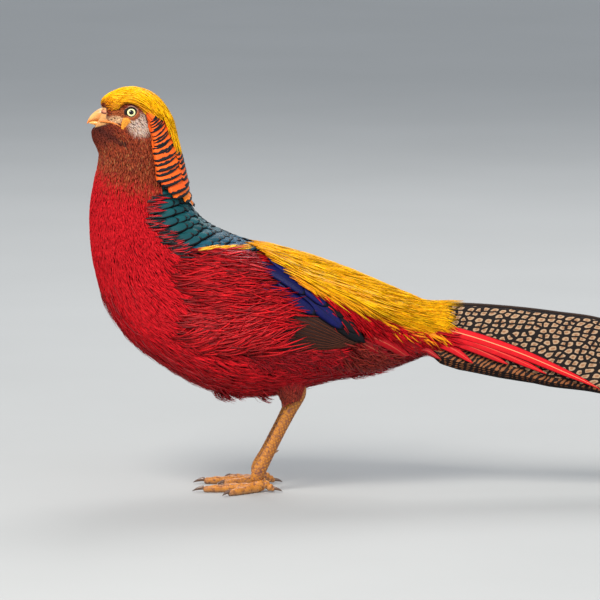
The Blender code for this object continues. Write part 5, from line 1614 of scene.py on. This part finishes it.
def barred_tail_material():
    """The outer tail feathers: rufous, with wavy black bars and a black lower edge."""
    m = Shader("barred_tail", roughness=0.5, specular=0.08)
    across = m.vane()[0]
    x = m.scaled(m.parts(m.node("NewGeometry").outputs["Position"])[0], 1000.0)
    wave = m.scaled(m.noise(110.0, 3.0), 9.0, x)
    wave = m.scaled(across, 26.0, wave)
    bars = m.math("SINE", m.scaled(wave, 1.35))
    blotch = m.scaled(m.noise(230.0, 2.0), 4.4, -2.0)
    bar = m.window(m.math("ADD", bars, blotch), -0.25, 0.15)
    speck = m.noise(600.0, 3.0)
    rufous = m.mix(speck, RUFOUS_DARK, RUFOUS)
    colour = m.mix(bar, rufous, (0.014, 0.008, 0.007))
    lower = m.window(across, 0.95, 0.98)
    colour = m.mix(lower, colour, (0.012, 0.008, 0.008))
    barbs = m.wave(m.scaled(m.scaled(across, -14.0, x), 5.0))
    value = m.scaled(barbs, 0.16, 0.85)
    m.bump(barbs, 0.3, 0.15)
    return m.finish(m.shaded(colour, value))


def covert_material(name, shaft_share):
    """The scarlet feathers beside the tail, with a shaft that is more or less pale and a soft edge."""
    m = Shader(name, roughness=0.45, specular=0.15)
    across, share, _ = m.vane()
    off = m.off(across)
    shaft = m.scaled(m.less(m.window(off, 0.02, 0.045)), shaft_share)
    barbs = m.math("SUBTRACT", m.scaled(share, 420.0), m.scaled(off, 60.0))
    barbs = m.wave(barbs)
    value = m.scaled(barbs, 0.25, 0.78)
    value = m.scaled(value, m.scaled(m.noise(300.0), 0.5, 0.75))
    colour = m.tinted(value)
    colour = m.mix(m.window(off, 0.38, 0.5), colour, COVERT_EDGE)
    colour = m.mix(shaft, colour, COVERT_SHAFT)
    m.bump(m.math("ADD", barbs, shaft), 0.35, 0.2)
    return m.finish(colour)


# Rows along and places across: of the roof's feathers, of their shaft, and of the outer feathers.
ROOF_GRID, SHAFT_GRID, OUTER_GRID = (420, 30), (160, 14), (60, 12)
# Width of an outer feather by the share of its length, in shares of its greatest width.
OUTER_SHAPE = ((0, 0.6), (0.2, 1), (0.4, 1), (0.6, 0.95), (0.8, 0.78), (0.93, 0.45), (1, 0.1))
OUTER_WIDTH = 30.0


def two_sided(upper, lower):
    """Rings round flat feathers, from the places across their upper and lower faces."""
    return np.concatenate((upper, lower[:, ::-1]), 1)


def build_tail():
    """The two long spotted feathers that make the tail's roof, their shaft, and the barred ones under them."""
    rows, across = ROOF_GRID
    x = np.linspace(TAIL_START, TAIL_TIP_X, rows)
    share = np.linspace(0, 1, across)
    rng = np.random.default_rng(101)
    ragged = np.interp(x, np.linspace(150, 830, 130), rng.uniform(0.985, 1.015, 130))
    points, vanes = [], []
    for _, side in SIDES:
        edge = along(TAIL_EDGE, x) * ragged
        down = 0.55 + (edge[:, None] - 0.55) * share ** 1.15
        at = np.broadcast_to(x[:, None], down.shape)
        ripple = 0.10 * np.sin(at * 1.9 - down * 1.4) * share
        upper, lower = tail_points(at, down, side, ripple), tail_points(at, down, side, ripple - 0.6)
        points.append(two_sided(upper, lower))
        flat = np.stack((down / 100, at / 1000), -1)
        vanes.append(two_sided(flat, flat))
    points, vanes = np.array(points), np.array(vanes)
    spread_out = vanes * (1.2, 1.15) * (0.5, 1) + np.array((0.0, 0.5))[:, None, None, None] * (1, 0)
    build("spotted_tail_feathers", points, ring_faces(2, rows, 2 * across), spotted_material(), None, vanes,
          spread_out, replaces=("tail_middle",))
    rows, ring = SHAFT_GRID
    line = np.linspace(TAIL_START, TAIL_TIP_X, rows)
    centre = tail_points(line, 0 * line, LEFT, np.full(rows, -0.35))
    radius = np.interp(line, (TAIL_START, TAIL_TIP_X), (1.7, 0.6))
    shaft = tube(centre, radius, ring)
    m = Shader("tail_shaft", roughness=0.4, specular=0.12)
    grain = m.noise(300.0, 3.0, stretch=(0.2, 1, 1))
    material = m.finish(m.mix(grain, (0.012, 0.008, 0.007), (0.05, 0.028, 0.018)))
    build("tail_shaft", shaft[None], ring_faces(1, rows, ring), material)
    barred = barred_tail_material()
    rows, across = OUTER_GRID
    for word, side in SIDES:
        for k, tip in enumerate(OUTER_TIPS):
            start = TAIL_START + 1
            line = np.linspace(0, 1, rows)
            at = start + (tip - start) * line
            low = along(OUTER_EDGE, at) - 1.6 * (3 - k) - 14.0 * line ** 3
            share = np.linspace(0, 1, across)
            down = low[:, None] - OUTER_WIDTH * along(OUTER_SHAPE, line)[:, None] * (1 - share)
            lift = np.full(down.shape, -1.3 - 1.1 * k) + 0.08 * np.sin(at[:, None] * 1.7)
            at = np.broadcast_to(at[:, None], down.shape)
            points = two_sided(tail_points(at, down, side, lift), tail_points(at, down, side, lift - 0.55))
            flat = np.stack(np.broadcast_arrays(share[None], line[:, None]), -1)
            flat = two_sided(flat, flat)
            build(f"barred_tail_feather_{word}_{k + 1}", points[None], ring_faces(1, rows, 2 * across), barred,
                  None, flat, flat * (0.45, 0.9) + 0.02,
                  replaces=("tail_" + word,) if k == 0 else ())


# The long scarlet feathers beside the tail, as they show from the side: root, tip, width and lift at the tip.
TAIL_COVERTS = (((153.5, 127.0), (189.2, 107.1), 9.5, 2.0), ((153.5, 130.5), (219.0, 105.9), 10.0, 3.0),
                ((153.5, 134.0), (251.3, 97.6), 10.0, 4.0), ((153.5, 137.5), (296.6, 84.4), 10.5, 5.0))
VENT_COVERTS = (((88.0, 128.0), (126.0, 107.0), 9.0, 2.2), ((98.0, 132.0), (137.4, 112.5), 9.5, 3.0),
                ((112.0, 133.0), (161.8, 110.0), 10.0, 4.0), ((90.0, 120.0), (118.0, 103.0), 8.0, 1.6))


def build_coverts():
    """The long scarlet feathers that lie along each side of the tail, and the shorter ones before them."""
    red = covert_material("tail_coverts", 0.25)
    shafted = covert_material("longest_covert", 1.0)
    rng = np.random.default_rng(111)
    for word, side in SIDES:
        roots, tips, width, high = (np.array(column, float) for column in zip(*TAIL_COVERTS))
        roots = np.stack((roots[:, 0], tail_down(*roots.T)), -1)
        tips = np.stack((tips[:, 0], tail_down(*tips.T)), -1)
        tint = blend(rng.uniform(0.2, 0.9, len(width)), SCARLET, BRIGHT_SCARLET)
        for name, rows, material in (("tail_coverts_", slice(0, 3), red),
                                     ("longest_covert_", slice(3, 4), shafted)):
            tail_feathers(name + word, side, roots[rows], tips[rows], width[rows], high[rows] * 0.8, high[rows],
                          tint[rows], material, bow=-2.0, outline=finer(LONG, 44), ring=WIDE_RING, camber=0.6,
                          slot="covert_plumage", replaces=("covert_" + word,) if rows.start == 0 else ())
        roots, tips, width, high = (np.array(column, float) for column in zip(*VENT_COVERTS))
        tint = blend(rng.uniform(0, 0.7, len(width)), SCARLET, CRIMSON)
        side_feathers("vent_coverts_" + word, side, roots, tips, width, 1.5, high + 1.5, tint, red, bow=-1.5,
                      outline=finer(LONG, 24), ring=WIDE_RING, thick=0.3, camber=0.5, over_tail=True,
                      slot="covert_plumage")


# The tarsus: x and z of its ends, its radii from the ankle up, and its width in shares of its depth.
ANKLE, HOCK = (6.7, 14.9), (41.5, 84.0)
TARSUS_RADII = (5.8, 5.1, 4.9, 4.9, 5.4, 6.2)
TARSUS_WIDTH = 0.8
# The way round a leg or toe that faces forward or up.
FRONT = math.pi / 2
# Rows and places round each tube of the leg.
TARSUS_GRID, SPUR_GRID, TOE_GRID, CLAW_GRID, BALL_RING = (300, 48), (14, 18), (96, 28), (20, 16), 32
# Scutes of the tarsus, length of one on a toe, and how many small scales there are to a scute.
TARSUS_SCUTES, SCUTE_LENGTH, SMALL_SCALES = 27, 2.1, 2.1
SPUR_HEIGHT, SPUR_HORN = 33.0, (0.42, 0.20, 0.08)
# The ball of the foot: x and z of its middle, and its half sizes.
PAD, PAD_SIZE = (7.2, 6.0), (6.5, 5.5, 5.8)
# Toes: heading in degrees outwards from straight ahead, length, radius at root and tip, claw length, root's rise.
TOES = (("inner", -24.0, 33.0, 4.0, 2.9, 7.0, 0.0), ("middle", 2.0, 47.0, 4.3, 3.0, 9.0, 0.0),
        ("outer", 44.0, 35.0, 4.0, 2.9, 7.0, 0.0), ("hind", 168.0, 14.0, 3.6, 2.6, 6.5, 6.0))


def leg_material():
    """Horny orange-yellow scutes with darker seams and worn edges."""
    m = Shader("leg_scutes", roughness=0.42, specular=0.3)
    grain = m.noise(260.0, 4.0)
    fine = m.noise(1400.0, 3.0)
    colour = m.mix(m.scaled(grain, 0.5), m.tint(), LEG_STAIN)
    colour = m.mix(m.scaled(m.window(m.noise(420.0, 3.0), 0.50, 0.66), 0.75), colour, LEG_WEAR)
    value = m.scaled(fine, 0.9, 0.58)
    m.bump(m.math("ADD", fine, grain), 0.5, 0.4)
    return m.finish(m.shaded(colour, value))


def scale_rows(share, angle, count):
    """How far places face the scutes in front, the way along their own scute, and the small scales beside it."""
    facing = smooth(-0.1, 0.55, np.cos(angle - FRONT))
    step = (share * count) % 1.0
    row = np.floor(share * count * SMALL_SCALES)
    small = 0.5 + 0.5 * np.cos(angle * 9 + row * np.pi)
    seam = np.abs((share * count * SMALL_SCALES) % 1.0 - 0.5) * 2
    return facing, step, small * (1 - seam ** 3)


def scutes(count, depth):
    """Relief of overlapping scutes along the front of a leg or the top of a toe, and small scales on the sides."""
    def relief(share, angle):
        facing, step, small = scale_rows(share, angle, count)
        plate = depth * (smooth(0.0, 0.25, step) * (1 - 0.4 * step) - 0.4) * facing
        return plate + 0.20 * (small - 0.5) * (1 - facing)
    return relief


def build_legs():
    """Tarsus with front scutes and spur, toes with scutes over soft pads, and curved claws."""
    scaly = leg_material()
    m = Shader("claw_horn", roughness=0.3, coat=0.2)
    grain = m.noise(300.0, 3.0, stretch=(0.3, 0.3, 1))
    claw_material = m.finish(m.mix(m.scaled(grain, 0.6), m.tint(), CLAW_STAIN))
    for word, side in SIDES:
        foot_end = (PAD[0] - 1.0, -side * LEG_SPREAD, 6.5, 4.4)
        line = [(ANKLE[0] + (HOCK[0] - ANKLE[0]) * t, -side * LEG_SPREAD, ANKLE[1] + (HOCK[1] - ANKLE[1]) * t, r)
                for t, r in zip(np.linspace(0, 1, 6), TARSUS_RADII)]
        hock_end = (HOCK[0] + 3.6, -side * LEG_SPREAD, HOCK[1] + 8.0, 3.0)
        rows, ring = TARSUS_GRID
        line = along_line([foot_end] + line + [hock_end], rows)
        rings = tube(line[:, :3], line[:, 3] - 0.15, ring, (TARSUS_WIDTH, 1.0), scutes(TARSUS_SCUTES, 0.34))
        share = np.linspace(0, 1, rows)[:, None]
        facing, step, small = scale_rows(share, np.arange(ring) / ring * 2 * np.pi, TARSUS_SCUTES)
        seam = np.exp(-(step / 0.13) ** 2) * facing
        net = smooth(0.55, 0.15, small) * (1 - facing)
        tint = blend(np.maximum(seam * 0.8, net * 0.75), np.broadcast_to(LEG, rings.shape), LEG_SEAM)
        tint = blend(smooth(0.8, 1.0, share) * 0.4 + 0 * facing, tint, HOCK_SKIN)
        build("tarsus_scutes_" + word, rings[None], ring_faces(1, rows, ring), scaly, tint,
              replaces=("tarsus_" + word,))
        build_spur(word, side, claw_material)
        build_foot(word, side, scaly, claw_material)


def build_spur(word, side, material):
    """The spur on the inner back of one tarsus."""
    at = (SPUR_HEIGHT - ANKLE[1]) / (HOCK[1] - ANKLE[1])
    root = np.array((ANKLE[0] + (HOCK[0] - ANKLE[0]) * at, -side * LEG_SPREAD, SPUR_HEIGHT))
    back = unit(np.array((1.0, side * 0.5, 0.15)))
    rows, ring = SPUR_GRID
    share = np.linspace(0, 1, rows)
    spur = tube([root + back * (2.5 + 7.4 * t) + (0, 0, 0.8 * t * t) for t in share],
                1.7 * (1 - share ** 1.6) + 0.12, ring)
    build("spur_" + word, spur[None], ring_faces(1, rows, ring), material,
          np.broadcast_to(SPUR_HORN, spur.shape))


def build_foot(word, side, scaly, claw_material):
    """One foot: a padded ball with four toes, and their claws."""
    pad = np.array((PAD[0], -side * LEG_SPREAD, PAD[1]))
    theta, turn = np.linspace(0.02, np.pi - 0.02, 24), np.arange(BALL_RING) / BALL_RING * 2 * np.pi
    ball = np.stack((np.sin(theta)[:, None] * np.cos(turn), np.sin(theta)[:, None] * np.sin(turn),
                     np.cos(theta)[:, None] * np.ones(BALL_RING)), -1) * PAD_SIZE + pad
    pieces, tints = [ball], [np.tile(LEG, (len(theta) * BALL_RING, 1))]
    rows, ring = TOE_GRID
    claws = []
    for name, heading, length, wide, thin, claw, rise in TOES:
        way = np.array((-math.cos(math.radians(heading)), -side * math.sin(math.radians(heading)), 0.0))
        start = pad * (1, 1, 0) + way * 3.0
        joints = 4 if name == "middle" else 3
        share = np.linspace(0, 1, rows)
        radius = wide + (thin - wide) * share
        swell = 0.55 * np.cos(share * joints * 2 * np.pi)
        height = radius - 0.45 + rise * (1 - share) ** 1.2
        centre = start + way * (length - 3.0) * share[:, None] + np.stack((0 * share, 0 * share, height), -1)
        blunt = 1 - 5.0 / length
        taper = np.sqrt(np.clip(1 - (np.clip(share - blunt, 0, 1) / (1.004 - blunt)) ** 2, 0, 1))
        many = int(length / SCUTE_LENGTH)
        toe = tube(centre, (radius + swell * 0.6) * taper, ring, (1.0, 1.0), scutes(many, 0.30))
        toe[..., 2] = np.maximum(toe[..., 2], 0.02)
        around = np.arange(ring) / ring * 2 * np.pi
        facing, step, _ = scale_rows(share[:, None], around, many)
        seam = np.exp(-(step / 0.12) ** 2) * facing
        tint = blend(seam * 0.8, np.broadcast_to(LEG, toe.shape), LEG_SEAM)
        under = smooth(0.2, -0.6, np.sin(around))[None] * np.ones((rows, 1))
        tint = blend(under * 0.6, tint, SOLE)
        tint = blend(smooth(0.8, 1.0, share)[:, None] * 0.5 + 0 * under, tint, TOE_TIP)
        pieces.append(toe)
        tints.append(tint.reshape(-1, 3))
        root = start + way * (length - 3.0 - 0.6)
        root[2] = thin + 0.4
        t = np.linspace(0, 1, CLAW_GRID[0])
        fall = np.stack((0 * t, 0 * t, 0.6 - (root[2] - 0.55) * t ** 1.8), -1)
        bend = root + way * (claw + 0.9) * t[:, None] + fall
        claws.append((name, tube(bend, 0.56 * thin * (1 - t ** 1.7) + 0.14, CLAW_GRID[1], (0.75, 1.0))))
    points, faces = join_meshes(pieces)
    points[:, 2] = np.maximum(points[:, 2], 0.0)
    build("toes_" + word, points, faces, scaly, np.concatenate(tints), replaces=("foot_" + word,))
    for name, rings in claws:
        rings[..., 2] = np.maximum(rings[..., 2], 0.05)
        share = np.linspace(0, 1, CLAW_GRID[0])[:, None] * np.ones(CLAW_GRID[1])
        tint = blend(share, CLAW_ROOT, CLAW_TIP)
        build(f"claw_horn_{name}_{word}", rings[None], ring_faces(1, *CLAW_GRID), claw_material, tint,
              replaces=(f"claw_{name}_{word}",))


def light(name, energy, size, place_at, target, colour):
    """A soft square lamp that looks at a target."""
    data = bpy.data.lights.new(name, "AREA")
    data.energy, data.size, data.color = energy, size, colour
    lamp = bpy.data.objects.new(name, data)
    lamp.location = place_at
    lamp.rotation_euler = (Vector(target) - Vector(place_at)).to_track_quat("-Z", "Y").to_euler()
    scene.collection.objects.link(lamp)


# Lamps: power, size, place, of which x counts from the middle of the view, and colour.
LAMPS = (
    ("key", 104.0, 1.3, (-1.1, -1.7, 2.3), (1.0, 0.97, 0.92)),
    ("fill", 26.0, 2.0, (1.8, -2.0, 1.2), (0.90, 0.95, 1.0)),
    ("rim", 34.0, 1.2, (0.4, 2.0, 2.0), (1, 1, 1)),
)
SKY, SKY_STRENGTH = (0.72, 0.78, 0.86, 1), 0.88
# What the photo's middle shows, in the bird's frame, the width it shows there, and the camera's way off.
VIEW_CENTRE, VIEW_WIDTH = (42.5, 161.5), 510.0
VIEW_DISTANCE, SENSOR = 6.0, 36.0


def build_studio():
    """Floor, world, lamps and the camera at the photo's angle."""
    m = Shader("floor", roughness=0.8)
    grain = m.noise(3.0, 3.0)
    material = m.finish(m.mix(grain, (0.34, 0.34, 0.33), (0.38, 0.38, 0.37)))
    floor = bmesh.new()
    bmesh.ops.create_grid(floor, x_segments=2, y_segments=2, size=14)
    mesh = bpy.data.meshes.new("floor")
    floor.to_mesh(mesh)
    floor.free()
    mesh.materials.append(material)
    ground = bpy.data.objects.new("floor", mesh)
    scene.collection.objects.link(ground)
    world = bpy.data.worlds.new("studio")
    scene.world = world
    world.use_nodes = True
    world.node_tree.nodes["Background"].inputs[0].default_value = SKY
    world.node_tree.nodes["Background"].inputs[1].default_value = SKY_STRENGTH
    middle = (VIEW_CENTRE[0] + SHIFT[0]) * MM, 0.0, VIEW_CENTRE[1] * MM
    for name, energy, size, (x, y, z), colour in LAMPS:
        light(name, energy, size, (middle[0] + x, y, z), middle, colour)
    data = bpy.data.cameras.new("camera")
    data.sensor_width = SENSOR
    data.lens = SENSOR * VIEW_DISTANCE / (VIEW_WIDTH * MM)
    data.clip_end = 60.0
    camera = bpy.data.objects.new("camera", data)
    turn = math.radians(VIEW_ELEVATION)
    camera.location = (middle[0], -VIEW_DISTANCE * math.cos(turn), middle[2] + VIEW_DISTANCE * math.sin(turn))
    camera.rotation_euler = (math.pi / 2 - turn, 0, 0)
    scene.collection.objects.link(camera)
    scene.camera = camera
    scene.view_settings.view_transform = "Standard"


build_skin()
build_coat()
build_wisps()
build_hanging_tufts()
build_thighs()
build_crest()
build_cape()
build_mantle()
build_rump()
build_wings()
build_tail()
build_coverts()
build_eyes()
build_wattles()
build_bill()
build_nostrils()
build_legs()
build_studio()
bpy.context.view_layer.update()
